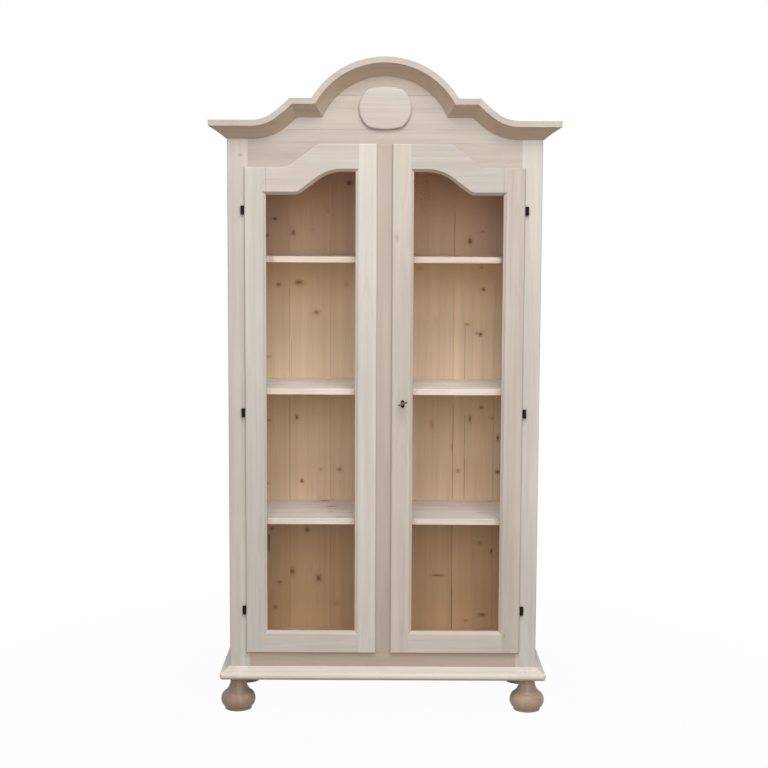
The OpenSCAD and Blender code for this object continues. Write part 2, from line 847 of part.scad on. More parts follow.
// A board of the frieze between two heights above the ends of the cornice
module crest_slab(low, high) {
    translate([0, 0, end_z]) slab(0, frame_t) intersection() {
        crest_outline(crest_step);
        translate([-post_x, low]) square([2 * post_x, high - low]);
    }
}

module lower_frieze() {
    z1 = door_high + door_rise - lip;
    difference() {
        block([-post_x, 0, door_high - lip], [post_x, frame_t, end_z - lower_joint_drop]);
        for (s = [1, -1])
            scale([s, 1, 1]) slab(-eps, frame_t + eps)
                under_s(door_in, door_out, door_low, door_s, lip);
        block([-mullion_x - eps, -eps, 0], [mullion_x + eps, frame_t + eps, z1]);
        mullion_tenon(z1 - eps, z1 + frame_tenon_l, wood_fit);
        left_of() translate([rod_x, rod_y, z1 - eps]) cylinder(h = rod_throw + eps, r = rod_r + slide_fit);
    }
    for (s = [1, -1])
        scale([s, 1, 1]) frame_tenon(post_x, post_x + frame_tenon_l, door_high + 20,
            end_z - lower_joint_drop - 10, 0);
}

// Upright tongued and grooved boards; i counts from the left
function back_joint(i) = back_shift + (i - 3.5) * back_board_w;

module back_board(i) {
    edge = inner_x + back_lap - 0.5;
    x0 = i == 1 ? -edge : back_joint(i - 1);
    x1 = i == 7 ? edge : back_joint(i);
    tongue = 5;
    third = back_t / 3;
    ease = 1.2;
    translate([0, wall_y, base_top]) linear_extrude(side_top - base_top) difference() {
        union() {
            translate([x0, 0]) square([x1 - x0, back_t]);
            if (i < 7)
                translate([x1 - eps, third + wood_fit]) square([tongue + eps, third - 2 * wood_fit]);
        }
        if (i > 1) {
            translate([x0 - eps, third]) square([tongue + 0.3 + eps, third]);
            translate([x0, 0]) rotate(45) square(ease * sqrt(2), center = true);
        }
        if (i < 7)
            translate([x1, 0]) rotate(45) square(ease * sqrt(2), center = true);
    }
}

module level_board(z) {
    block([-inner_x, frame_t, z], [inner_x, wall_y, z + board_t]);
}

module shelf(z) {
    r = shelf_round;
    x = inner_x - shelf_gap;
    translate([-x, 0, 0]) rotate([90, 0, 90]) linear_extrude(2 * x) {
        translate([shelf_front + r, z]) square([shelf_back - shelf_front - r, shelf_t]);
        translate([shelf_front, z + r]) square([2 * r, shelf_t - 2 * r]);
        for (h = [r, shelf_t - r])
            translate([shelf_front + r, z + h]) circle(r);
    }
}

module shelf_pin_set() {
    for (z = shelf_heights)
        for (y = [shelf_front + pin_in, shelf_back - pin_in])
            translate([inner_x, y, z - peg_r]) rotate([0, 90, 0]) {
                cylinder(h = pin_l, r = pin_r);
                translate([0, 0, -peg_l]) cylinder(h = peg_l, r = peg_r);
            }
}

// Base and feet

// The base moulding's section: [distance out from the carcass, height in the base]
module base_section(inward) {
    r = base_nose_r;
    centre = [base_proj - r, r];
    slope_end = centre + [0.55 * r, 0.6 * r];
    polygon([[-inward, 0], [centre[0], 0], centre, slope_end, [0, base_h], [-inward, base_h]]);
    translate(centre) circle(r);
}

module base_moulding_x() {
    translate([-half_w - base_proj, 0, foot_h]) rotate([90, 0, 90])
        linear_extrude(2 * (half_w + base_proj)) scale([-1, 1]) base_section(body_d + eps);
}

module base_moulding_y() {
    translate([half_w, body_d, foot_h]) rotate([90, 0, 0])
        linear_extrude(body_d + base_proj) base_section(half_w);
}

base_in_x = half_w + base_proj - base_rail_w;
foot_x = half_w + base_proj - foot_side_in;
foot_front_y = foot_front_in - base_proj;
foot_back_y = body_d - foot_back_in;

module base_tenon(y, fit) {
    z0 = foot_h + base_h / 3;
    block([base_in_x - fit, y - 20 - fit, z0 - fit],
        [base_in_x + base_tenon_l + fit, y + 20 + fit, z0 + base_h / 3 + fit]);
}

module base_side_rail() {
    r = base_corner_r;
    x1 = half_w + base_proj;
    difference() {
        intersection() {
            base_moulding_x();
            base_moulding_y();
            translate([0, 0, foot_h]) linear_extrude(base_h) {
                translate([base_in_x, -base_proj]) square([base_rail_w - r, body_d + base_proj]);
                translate([base_in_x, r - base_proj]) square([base_rail_w, body_d + base_proj - r]);
                translate([x1 - r, r - base_proj]) circle(r);
            }
        }
        for (y = [foot_front_y, foot_back_y])
            translate([foot_x, y, foot_h - eps])
                cylinder(h = spigot_l + eps + wood_fit, r = spigot_r + wood_fit);
        base_tenon(base_front_w / 2 - base_proj, wood_fit);
        base_tenon(body_d - base_rail_w / 2, wood_fit);
    }
}

module base_cross_rail(y0, y1) {
    mid = (y0 + y1) / 2;
    intersection() {
        base_moulding_x();
        block([-base_in_x, y0, foot_h - eps], [base_in_x, y1, base_top + eps]);
    }
    base_tenon(mid, 0);
    left_of() base_tenon(mid, 0);
}

module foot_turning() {
    bun = [foot_r - bun_r, bun_r];
    hollow_x = neck_r + neck_hollow_r;
    reach = bun_r + neck_hollow_r;
    hollow_z = bun_r + sqrt(reach * reach - pow(hollow_x - bun[0], 2)) - neck_crease;
    touch = bun[0] + (bun_r / reach) * (hollow_x - bun[0]);
    rotate_extrude() difference() {
        union() {
            square([bun[0], 2 * bun_r]);
            intersection() {
                translate(bun) circle(bun_r);
                square(foot_h);
            }
            square([touch, hollow_z]);
            square([foot_top_r, foot_h]);
            square([spigot_r, foot_h + spigot_l]);
        }
        translate([hollow_x, hollow_z]) circle(neck_hollow_r);
    }
}

module foot(side, y) {
    on_body() translate([side * foot_x, y, 0]) foot_turning();
}

// Cornice

// The moulding's section: [distance down from the top edge, distance out from the carcass]
module crown_section() {
    top = [fascia_h, crown_proj - fascia_step];
    bottom = [crown_h, crown_edge];
    chord = top - bottom;
    half = norm(chord) / 2;
    r = (half * half + cove_sag * cove_sag) / (2 * cove_sag);
    centre = (top + bottom) / 2 + (r - cove_sag) * [chord[1], -chord[0]] / norm(chord);
    difference() {
        square([crown_h, crown_proj]);
        intersection() {
            translate(centre) circle(r, $fn = 720);
            translate([fascia_h, 0]) square([crown_h - fascia_h + eps, crown_proj + eps]);
        }
    }
}

// Where the arch meets a shoulder, t below the top edge
function arch_end(t) = let (h = shoulder_rise - t - arch_rise + arch_r)
    [sqrt(pow(arch_r - t, 2) - h * h), shoulder_rise - t];
// Where a shoulder meets its ramp, t below the top edge
function shoulder_end(t) = let (h = ramp_high[1] - shoulder_rise + t)
    [ramp_high[0] - sqrt(pow(ramp_upper_r + t, 2) - h * h), shoulder_rise - t];
// A point on the line of a mitre, beyond its two ends
function past(a, b, by) = b + by * (b - a) / norm(b - a);

arch_cut = [past(arch_end(crown_h), arch_end(0), 40), past(arch_end(0), arch_end(crown_h), 15)];
ramp_cut = [past(shoulder_end(crown_h), shoulder_end(0), 40), past(shoulder_end(0), shoulder_end(crown_h), 15)];

module crown_cut() {
    slab(-crown_proj - eps, eps) children();
}

module crown_arch() {
    top = arch_rise + 20;
    intersection() {
        translate([0, 0, arch_rise - arch_r]) rotate([90, 0, 0])
            rotate_extrude(angle = 180, $fn = 288) translate([arch_r, 0]) mirror([1, 0]) crown_section();
        crown_cut() polygon([arch_cut[1], arch_cut[0], [arch_cut[0][0], top], [-arch_cut[0][0], top],
            [-arch_cut[0][0], arch_cut[0][1]], [-arch_cut[1][0], arch_cut[1][1]]]);
    }
}

module crown_shoulder() {
    intersection() {
        along_line([arch_end(crown_h)[0] - 10, shoulder_rise], [shoulder_end(0)[0] + 10, shoulder_rise])
            crown_section();
        crown_cut() polygon([arch_cut[0], ramp_cut[0], ramp_cut[1], arch_cut[1]]);
    }
}

module crown_ramp() {
    far = half_w + crown_proj + eps;
    peg_in = 4;
    intersection() {
        union() {
            along_arc(ramp_high, ramp_upper_r, 180, [-0.9, -0.45], -square_to_slope, 0) crown_section();
            along_arc(ramp_low, ramp_r, 180, -square_to_slope, [0, -1], 0) crown_section();
            along_line([ramp_foot, 0], [far, 0]) crown_section();
            // Pegs inside the moulding across the joints of its three runs
            for (p = [[ramp_foot, -fascia_h / 2], ramp_low - (ramp_r + fascia_h / 2) * square_to_slope])
                translate([p[0], -peg_in, p[1]]) rotate([90, 0, 0])
                    cylinder(h = crown_proj - fascia_step - 2 * peg_in, r = fascia_h / 2 - peg_in);
        }
        crown_cut() polygon([ramp_cut[0], [far, ramp_cut[0][1]], [far, -crown_h - eps],
            [ramp_cut[1][0], -crown_h - eps], ramp_cut[1]]);
        translate([0, 0, -crown_h - eps]) linear_extrude(shoulder_rise + crown_h + 60)
            polygon([[0, eps], [0, -crown_proj - eps], [half_w + crown_proj + eps, -crown_proj - eps],
                [half_w - eps, eps]]);
    }
}

module crown_return() {
    difference() {
        translate([half_w, 0, 0]) rotate([0, 0, 90])
            along_line([-crown_proj, 0], [body_d, 0]) crown_section();
        translate([0, 0, -crown_h - eps]) linear_extrude(crown_h + 2 * eps)
            polygon([[0, eps], [0, -crown_proj - eps], [half_w + crown_proj + eps, -crown_proj - eps],
                [half_w - eps, eps]]);
    }
}

module on_crown() {
    on_body() translate([0, 0, end_z]) children();
}

// A disc with an eased front edge, its back on the face frame
module eased_disc(r) {
    e = plaque_round;
    rotate([90, 0, 0]) rotate_extrude() {
        square([r, plaque_t - e]);
        square([r - e, plaque_t]);
        translate([r - e, plaque_t - e]) circle(e);
    }
}

module plaque_board() {
    tall = plaque_long_r - plaque_h / 2;
    wide = plaque_w / 2 - plaque_side_r;
    translate([0, 0, plaque_rise]) intersection() {
        translate([0, 0, -tall]) eased_disc(plaque_long_r);
        translate([0, 0, tall]) eased_disc(plaque_long_r);
        union() {
            translate([-wide, 0, 0]) eased_disc(plaque_side_r);
            translate([wide, 0, 0]) eased_disc(plaque_side_r);
        }
    }
}

// Pieces

module side_panel_left() { color(lime) on_body() left_of() side_panel(); }
module side_panel_right() { color(lime) on_body() side_panel(); }
module corner_post_left() { color(lime) on_body() left_of() corner_post(); }
module corner_post_right() { color(lime) on_body() corner_post(); }
module centre_mullion() { color(lime) on_body() mullion(); }
module bottom_rail() { color(lime_warm) on_body() bottom_frame_rail(); }
module frieze_rail() { color(lime_warm) on_body() lower_frieze(); }
module frieze_board() { color(lime_warm) on_body() crest_slab(-lower_joint_drop, upper_joint_rise); }
module crest_board() { color(lime_warm) on_body() crest_slab(upper_joint_rise, arch_rise); }
module roof_board() { color(pine) on_body() level_board(end_z - roof_drop - board_t); }
module floor_board() { color(pine) on_body() level_board(base_top); }
module back_boards(i) { color(pine) on_body() back_board(i); }
module shelf_lower() { color(shelf_wood) on_body() shelf(shelf_heights[0]); }
module shelf_middle() { color(shelf_wood) on_body() shelf(shelf_heights[1]); }
module shelf_upper() { color(shelf_wood) on_body() shelf(shelf_heights[2]); }
module both_sides() {
    children();
    left_of() children();
}
module shelf_pins() { color(steel) on_body() both_sides() shelf_pin_set(); }
module base_rail_front() { color(lime) on_body() base_cross_rail(-base_proj, base_front_w - base_proj); }
module base_rail_left() { color(lime) on_body() left_of() base_side_rail(); }
module base_rail_right() { color(lime) on_body() base_side_rail(); }
module base_rail_rear() { color(pine) on_body() base_cross_rail(body_d - base_rail_w, body_d); }
module foot_front_left() { color(lime_shade) foot(-1, foot_front_y); }
module foot_front_right() { color(lime_shade) foot(1, foot_front_y); }
module foot_rear_left() { color(lime_shade) foot(-1, foot_back_y); }
module foot_rear_right() { color(lime_shade) foot(1, foot_back_y); }
module cornice_arch() { color(lime_warm) on_crown() crown_arch(); }
module cornice_shoulder_left() { color(lime_warm) on_crown() left_of() crown_shoulder(); }
module cornice_shoulder_right() { color(lime_warm) on_crown() crown_shoulder(); }
module cornice_ramp_left() { color(lime_warm) on_crown() left_of() crown_ramp(); }
module cornice_ramp_right() { color(lime_warm) on_crown() crown_ramp(); }
module cornice_return_left() { color(lime_warm) on_crown() left_of() crown_return(); }
module cornice_return_right() { color(lime_warm) on_crown() crown_return(); }
module plaque() { color(lime) on_crown() plaque_board(); }
module hinge_pins() { color(black_steel) on_body() both_sides() hinge_pin_set(); }
module left_hinge_stile() { color(lime) on_body() left_of() hinge_stile(); }
module left_lock_stile() { color(lime) on_body() left_of() lock_stile(false); }
module left_top_rail() { color(lime) on_body() left_of() top_door_rail(); }
module left_bottom_rail() { color(lime) on_body() left_of() bottom_door_rail(); }
module left_glass() { color(pane) on_body() left_of() door_glass(); }
module left_glazing_beads() { color(lime) on_body() left_of() glazing_beads(); }
module left_hinge_sockets() { color(black_steel) on_body() left_of() hinge_sockets(); }
module left_bolt_guides() {
    color(steel) on_body() left_of() {
        rod_guide_at(upper_rod_z, 1);
        rod_guide_at(lower_rod_z, -1);
    }
}
module left_upper_bolt() { color(steel) on_body() left_of() rod_at(upper_rod_z, 1); }
module left_lower_bolt() { color(steel) on_body() left_of() rod_at(lower_rod_z, -1); }
module right_hinge_stile() { color(lime) on_body() hinge_stile(); }
module right_lock_stile() { color(lime) on_body() lock_stile(true); }
module right_top_rail() { color(lime) on_body() top_door_rail(); }
module right_bottom_rail() { color(lime) on_body() bottom_door_rail(); }
module right_glass() { color(pane) on_body() door_glass(); }
module right_glazing_beads() { color(lime) on_body() glazing_beads(); }
module right_hinge_sockets() { color(black_steel) on_body() hinge_sockets(); }
module lock_case() { color(steel) on_body() lock_body(); }
module lock_bolt() { color(steel) on_body() lock_bolt_body(); }
module escutcheon() { color(black_steel) on_body() keyhole_insert(); }
module key() { color(steel) on_body() key_body(); }

side_panel_left();
side_panel_right();
corner_post_left();
corner_post_right();
centre_mullion();
bottom_rail();
frieze_rail();
frieze_board();
crest_board();
roof_board();
floor_board();
for (i = [1:7])
    back_boards(i);
shelf_lower();
shelf_middle();
shelf_upper();
shelf_pins();
base_rail_front();
base_rail_left();
base_rail_right();
base_rail_rear();
foot_front_left();
foot_front_right();
foot_rear_left();
foot_rear_right();
cornice_arch();
cornice_shoulder_left();
cornice_shoulder_right();
cornice_ramp_left();
cornice_ramp_right();
cornice_return_left();
cornice_return_right();
plaque();
hinge_pins();
left_hinge_stile();
left_lock_stile();
left_top_rail();
left_bottom_rail();
left_glass();
left_glazing_beads();
left_hinge_sockets();
left_bolt_guides();
left_upper_bolt();
left_lower_bolt();
right_hinge_stile();
right_lock_stile();
right_top_rail();
right_bottom_rail();
right_glass();
right_glazing_beads();
right_hinge_sockets();
lock_case();
lock_bolt();
escutcheon();
key();
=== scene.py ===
# Glazed display cabinet: limed pine outside, knotty pine inside, clear panes, black hinges.
# Metres, Z up, the front looks along -Y and the feet stand on Z = 0.
import bpy
import bmesh
import math
import random
from mathutils import Matrix, Vector


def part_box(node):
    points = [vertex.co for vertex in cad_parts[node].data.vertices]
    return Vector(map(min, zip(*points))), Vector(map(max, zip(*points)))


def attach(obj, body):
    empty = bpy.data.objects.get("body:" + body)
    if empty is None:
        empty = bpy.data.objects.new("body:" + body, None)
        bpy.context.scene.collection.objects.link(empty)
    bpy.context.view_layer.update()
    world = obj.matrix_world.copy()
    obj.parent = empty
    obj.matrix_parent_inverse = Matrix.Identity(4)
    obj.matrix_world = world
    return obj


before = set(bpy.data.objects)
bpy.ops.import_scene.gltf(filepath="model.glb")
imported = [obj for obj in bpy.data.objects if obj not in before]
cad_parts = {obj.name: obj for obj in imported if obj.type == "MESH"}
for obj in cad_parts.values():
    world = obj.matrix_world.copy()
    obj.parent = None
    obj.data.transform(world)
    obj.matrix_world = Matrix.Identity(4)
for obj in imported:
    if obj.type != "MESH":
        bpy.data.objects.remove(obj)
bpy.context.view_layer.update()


def clearSelection():
    if bpy.context.object and bpy.context.object.mode != 'OBJECT':
        bpy.ops.object.mode_set(mode='OBJECT')
    bpy.ops.object.select_all(action='DESELECT')


clearSelection()
print('frame loaded:', len(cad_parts), 'nodes')


# Camera and lamps

cameraLook = {'lens': 67.64, 'sensor': 36, 'place': (-0.0021, -4.858, 1.575), 'tilt': 84.176, 'roll': -0.26}
softboxLooks = {
    'keySoftbox': {'place': (0.3, -2.5, 4.3), 'size': (2.6, 1.8), 'power': 92, 'aim': (0, -0.1, 1.0)},
    'frontSoftbox': {'place': (0.3, -4.7, 2.4), 'size': (4.0, 2.8), 'power': 105, 'aim': (0, -0.1, 1.0)},
}


def placeCamera(look):
    turn = [math.radians(angle) for angle in (look['tilt'], look['roll'], 0)]
    bpy.ops.object.camera_add(location=look['place'], rotation=turn)
    camera = bpy.context.object
    camera.data.lens = look['lens']
    camera.data.sensor_width = look['sensor']
    bpy.context.scene.camera = camera


def placeSoftbox(name, look):
    bpy.ops.object.light_add(type='AREA', location=look['place'])
    lamp = bpy.context.object
    lamp.name = name
    lamp.rotation_euler = (Vector(look['aim']) - Vector(look['place'])).to_track_quat('-Z', 'Y').to_euler()
    lamp.data.shape = 'RECTANGLE'
    lamp.data.size, lamp.data.size_y = look['size']
    lamp.data.energy = look['power']


placeCamera(cameraLook)
for name, look in softboxLooks.items():
    placeSoftbox(name, look)
bpy.context.scene.view_settings.view_transform = 'Standard'
print('camera and', len(softboxLooks), 'softboxes placed')


# Node helpers

white = (1, 1, 1, 1)
origin = (0.0, 0.0, 0.0)
noiseMiddle = (0.5, 0.5, 0.5)


def tint(red, green, blue):
    # a screen colour, 0 to 255, as the linear colour that a socket takes
    levels = [level / 255 for level in (red, green, blue)]
    linear = [v / 12.92 if v <= 0.04045 else ((v + 0.055) / 1.055) ** 2.4 for v in levels]
    return (*linear, 1)


def addNode(tree, kind, values=None, **settings):
    # values go to the input sockets, by link where they are sockets themselves
    made = tree.nodes.new('ShaderNode' + kind)
    for name, value in settings.items():
        setattr(made, name, value)
    for socket, value in (values or {}).items():
        if isinstance(value, bpy.types.NodeSocket):
            tree.links.new(value, made.inputs[socket])
        else:
            made.inputs[socket].default_value = value
    return made


def maths(tree, operation, *values, clamp=False):
    return addNode(tree, 'Math', dict(enumerate(values)), operation=operation, use_clamp=clamp).outputs[0]


def vectors(tree, operation, *values):
    made = addNode(tree, 'VectorMath', dict(enumerate(values)), operation=operation)
    return made.outputs['Value' if operation in ('LENGTH', 'DOT_PRODUCT') else 'Vector']


def scaled(tree, vector, amount):
    return addNode(tree, 'VectorMath', {0: vector, 'Scale': amount}, operation='SCALE').outputs['Vector']


def splitVector(tree, vector):
    # its three coordinates
    return addNode(tree, 'SeparateXYZ', {0: vector}).outputs


def blended(tree, amount, low, high, how='MIX'):
    made = addNode(tree, 'Mix', {0: amount, 6: low, 7: high}, data_type='RGBA', blend_type=how)
    return made.outputs[2]


def eased(tree, value, low, high, toLow=0.0, toHigh=1.0):
    made = addNode(tree, 'MapRange', {0: value, 1: low, 2: high, 3: toLow, 4: toHigh},
                   interpolation_type='SMOOTHSTEP')
    return made.outputs[0]


def cloud(tree, vector, stretch, detail=2.0, rough=0.5):
    # noise whose size along each axis is 1 / stretch metres
    place = vectors(tree, 'MULTIPLY', vector, stretch)
    return addNode(tree, 'TexNoise', {'Vector': place, 'Scale': 1.0, 'Detail': detail, 'Roughness': rough})


def ragged(tree, vector, depth, noise):
    # an uneven edge, as much inwards as outwards
    return maths(tree, 'MULTIPLY_ADD', cloud(tree, vector, *noise).outputs[0], depth, -depth / 2)


def newGroup(name, takes, gives):
    # takes holds each input's starting value, gives each output's kind
    tree = bpy.data.node_groups.new(name, 'ShaderNodeTree')
    for label, start in takes.items():
        kind = {3: 'Vector', 4: 'Color'}[len(start)] if isinstance(start, tuple) else 'Float'
        socket = tree.interface.new_socket(label, in_out='INPUT', socket_type='NodeSocket' + kind)
        socket.default_value = start
    for label, kind in gives.items():
        tree.interface.new_socket(label, in_out='OUTPUT', socket_type='NodeSocket' + kind)
    return tree, tree.nodes.new('NodeGroupInput').outputs, tree.nodes.new('NodeGroupOutput').inputs


def useGroup(tree, group, values):
    return addNode(tree, 'Group', values, node_tree=group).outputs


def newMaterial(name):
    made = bpy.data.materials.new(name)
    made.use_nodes = True
    made.node_tree.nodes.clear()
    return made, made.node_tree, made.node_tree.nodes.new('ShaderNodeTexCoord').outputs['Object']


def showShader(tree, shader, output='OutputMaterial'):
    addNode(tree, output, {'Surface': shader.outputs[0]})


def dress(member, material):
    # a CAD node keeps its slots and takes the material in each
    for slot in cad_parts[member].material_slots:
        slot.material = material


# Shared effects. A noise is given as its stretch along each axis, its detail and its roughness.

grainShape = {
    'sway': ((6, 6, 1.3), 2.5), 'taper': 0.011,                          # how the pith wanders and leans
    'lateRise': (0.3, 0.86), 'lateFall': (1.0, 0.9), 'faintYear': 0.3,   # the dark part of each ring
    'streak': ((58, 58, 1.1), 3, 0.6), 'streakSway': 0.4, 'streakRange': (0.3, 0.7),
    'fibre': ((820, 820, 18), 3, 0.6), 'drift': ((7, 7, 0.9), 2),
    'fleck': ((1300, 1300, 70), 2), 'fleckRange': (0.62, 0.74),
}


def makeTimberGrain(shape):
    # growth rings round a pith on the Z axis, with fibres and streaks that run along Z
    tree, takes, gives = newGroup(
        'timberGrain', {'Vector': origin, 'Ring Width': 0.004, 'Wander': 0.03, 'Push': 0.0},
        {'Late Wood': 'Float', 'Fibre': 'Float', 'Streak': 'Float', 'Drift': 'Float', 'Fleck': 'Float'})
    place = takes['Vector']
    slow = cloud(tree, place, *shape['sway']).outputs['Color']
    sway = scaled(tree, vectors(tree, 'SUBTRACT', slow, noiseMiddle), takes['Wander'])
    shifted = splitVector(tree, vectors(tree, 'ADD', place, sway))
    across = maths(tree, 'SQRT', maths(tree, 'ADD', maths(tree, 'MULTIPLY', shifted[0], shifted[0]),
                                       maths(tree, 'MULTIPLY', shifted[1], shifted[1])))
    taper = maths(tree, 'MULTIPLY', shifted[2], shape['taper'])
    radius = maths(tree, 'ADD', maths(tree, 'ADD', across, taper), takes['Push'])
    ring = maths(tree, 'DIVIDE', radius, takes['Ring Width'])
    phase = maths(tree, 'FRACT', ring)
    late = maths(tree, 'MULTIPLY', eased(tree, phase, *shape['lateRise']),
                 eased(tree, phase, *shape['lateFall']))
    # each year's ring has its own depth
    year = addNode(tree, 'TexWhiteNoise', {'W': maths(tree, 'FLOOR', ring)}, noise_dimensions='1D').outputs[0]
    depth = maths(tree, 'MULTIPLY_ADD', year, 1 - shape['faintYear'], shape['faintYear'])
    tree.links.new(maths(tree, 'MULTIPLY', late, depth), gives['Late Wood'])
    tree.links.new(cloud(tree, place, *shape['fibre']).outputs[0], gives['Fibre'])
    bent = vectors(tree, 'ADD', place, scaled(tree, sway, shape['streakSway']))
    streak = cloud(tree, bent, *shape['streak']).outputs[0]
    tree.links.new(eased(tree, streak, *shape['streakRange']), gives['Streak'])
    tree.links.new(cloud(tree, place, *shape['drift']).outputs[0], gives['Drift'])
    fleck = cloud(tree, place, *shape['fleck']).outputs[0]
    tree.links.new(eased(tree, fleck, *shape['fleckRange']), gives['Fleck'])
    return tree


# masks: where each starts and is full, in half sizes of the knot, and its greatest value; Push is in metres
knotShape = {
    'edge': ((130, 30, 130), 3), 'edgeDepth': 0.8,
    'masks': {'Heart': (1.35, 0.3, 1.0), 'Halo': (2.9, 0.7, 1.0), 'Push': (4.5, 0.3, 0.007)},
}


def makeKnotSpot(shape):
    # one knot: its dark heart, the reddish wood round it and the push it gives the rings
    tree, takes, gives = newGroup(
        'knotSpot', {'Vector': origin, 'Place': origin, 'Reach': (0.006, 0.03, 0.005), 'Strength': 1.0},
        {'Heart': 'Float', 'Halo': 'Float', 'Push': 'Float'})
    offset = vectors(tree, 'SUBTRACT', takes['Vector'], takes['Place'])
    offset = vectors(tree, 'DIVIDE', offset, takes['Reach'])
    apart = maths(tree, 'ADD', vectors(tree, 'LENGTH', offset),
                  ragged(tree, takes['Vector'], shape['edgeDepth'], shape['edge']))
    for label, (start, full, most) in shape['masks'].items():
        amount = maths(tree, 'MULTIPLY', eased(tree, apart, start, full), most)
        tree.links.new(maths(tree, 'MULTIPLY', amount, takes['Strength']), gives[label])
    return tree


lineShape = {'breaks': ((13, 13, 13), 2), 'breakRange': (0.35, 0.5), 'faintest': 0.4}


def makeFineLine(shape):
    # an open joint or a shake: a thin line, fainter here and there
    tree, takes, gives = newGroup(
        'fineLine', {'Vector': origin, 'Middle': origin, 'Half': (0.001, 0.1, 0.1), 'Soft': 0.0012},
        {'Line': 'Float'})
    apart = vectors(tree, 'ABSOLUTE', vectors(tree, 'SUBTRACT', takes['Vector'], takes['Middle']))
    beyond = splitVector(tree, vectors(tree, 'SUBTRACT', apart, takes['Half']))
    outside = maths(tree, 'MAXIMUM', beyond[0], maths(tree, 'MAXIMUM', beyond[1], beyond[2]))
    breaks = cloud(tree, takes['Vector'], *shape['breaks']).outputs[0]
    broken = eased(tree, breaks, *shape['breakRange'], shape['faintest'], 1.0)
    tree.links.new(maths(tree, 'MULTIPLY', eased(tree, outside, takes['Soft'], 0.0), broken), gives['Line'])
    return tree


pinShape = {
    'drawnOut': (1.0, 6.0, 1.7), 'smallest': 0.02, 'spread': 0.035,
    'edge': ((160, 40, 160), 2), 'edgeDepth': 0.7, 'masks': {'Heart': (1.1, 0.6), 'Halo': (2.8, 0.9)},
}


def makePinKnots(shape):
    # small knots strewn at random, each drawn out across the thickness of its board
    tree, takes, gives = newGroup('pinKnots', {'Vector': origin, 'Spacing': 0.12, 'Share': 0.3},
                                  {'Heart': 'Float', 'Halo': 'Float'})
    place = vectors(tree, 'DIVIDE', takes['Vector'], shape['drawnOut'])
    density = maths(tree, 'DIVIDE', 1.0, takes['Spacing'])
    near = addNode(tree, 'TexVoronoi', {'Vector': place, 'Scale': density})
    lot = addNode(tree, 'SeparateColor', {0: near.outputs['Color']}).outputs
    keep = maths(tree, 'LESS_THAN', lot[0], takes['Share'])
    size = maths(tree, 'MULTIPLY_ADD', lot[1], shape['spread'], shape['smallest'])
    apart = maths(tree, 'ADD', maths(tree, 'DIVIDE', near.outputs['Distance'], size),
                  ragged(tree, takes['Vector'], shape['edgeDepth'], shape['edge']))
    for label, (start, full) in shape['masks'].items():
        tree.links.new(maths(tree, 'MULTIPLY', keep, eased(tree, apart, start, full)), gives[label])
    return tree


washShape = {
    'patches': ((11, 11, 3.5), 4, 0.6), 'patchRange': (0.25, 0.75), 'thin': 0.4, 'thick': 1.6,
    'lateLoss': 0.5, 'hues': ((5.5, 5.5, 1.5), 2), 'hueShift': (3.1, 5.7, 1.3),
    'hueRamp': ((0.32, (1.0, 0.955, 0.945, 1)), (0.5, (0.985, 0.98, 0.975, 1)),
                (0.68, (0.962, 0.974, 0.945, 1))),
}


def makeLimeWash(shape):
    # a thin pale wash: pink and green casts, thicker in some places and thinner on the late wood
    tree, takes, gives = newGroup(
        'limeWash', {'Vector': origin, 'Wood': (0.6, 0.5, 0.4, 1.0), 'Lime': (0.7, 0.7, 0.6, 1.0),
                     'Cover': 0.3, 'Late Wood': 0.0, 'Cast': 0.5}, {'Colour': 'Color'})
    patchy = cloud(tree, takes['Vector'], *shape['patches']).outputs[0]
    uneven = eased(tree, patchy, *shape['patchRange'], shape['thin'], shape['thick'])
    held = maths(tree, 'MULTIPLY_ADD', takes['Late Wood'], -shape['lateLoss'], 1.0)
    amount = maths(tree, 'MULTIPLY', maths(tree, 'MULTIPLY', takes['Cover'], uneven), held, clamp=True)
    washed = blended(tree, amount, takes['Wood'], takes['Lime'])
    hue = cloud(tree, vectors(tree, 'ADD', takes['Vector'], shape['hueShift']), *shape['hues']).outputs[0]
    cast = addNode(tree, 'ValToRGB', {0: hue})
    cast.color_ramp.elements.new(shape['hueRamp'][1][0])
    for stop, (position, colour) in zip(cast.color_ramp.elements, shape['hueRamp']):
        stop.position, stop.color = position, colour
    tree.links.new(blended(tree, takes['Cast'], washed, cast.outputs[0], 'MULTIPLY'), gives['Colour'])
    return tree


edgeShape = {'samples': 6, 'turnRange': (0.01, 0.25)}


def makeSoftEdges(shape):
    # sanded arrises: a normal that rounds them, and a mask of where they are
    tree, takes, gives = newGroup('softEdges', {'Radius': 0.0012}, {'Edge': 'Float', 'Normal': 'Vector'})
    rounded = addNode(tree, 'Bevel', {'Radius': takes['Radius']}, samples=shape['samples']).outputs[0]
    flat = tree.nodes.new('ShaderNodeNewGeometry').outputs['Normal']
    turned = maths(tree, 'SUBTRACT', 1.0, vectors(tree, 'DOT_PRODUCT', rounded, flat))
    tree.links.new(eased(tree, turned, *shape['turnRange']), gives['Edge'])
    tree.links.new(rounded, gives['Normal'])
    return tree


rubShape = {
    'smudge': ((160, 160, 160), 4, 0.6), 'scratch': ((2600, 2600, 180), 2, 0.6),
    'rubbedRange': (0.35, 0.6), 'scratchRange': (0.5, 0.75),
}


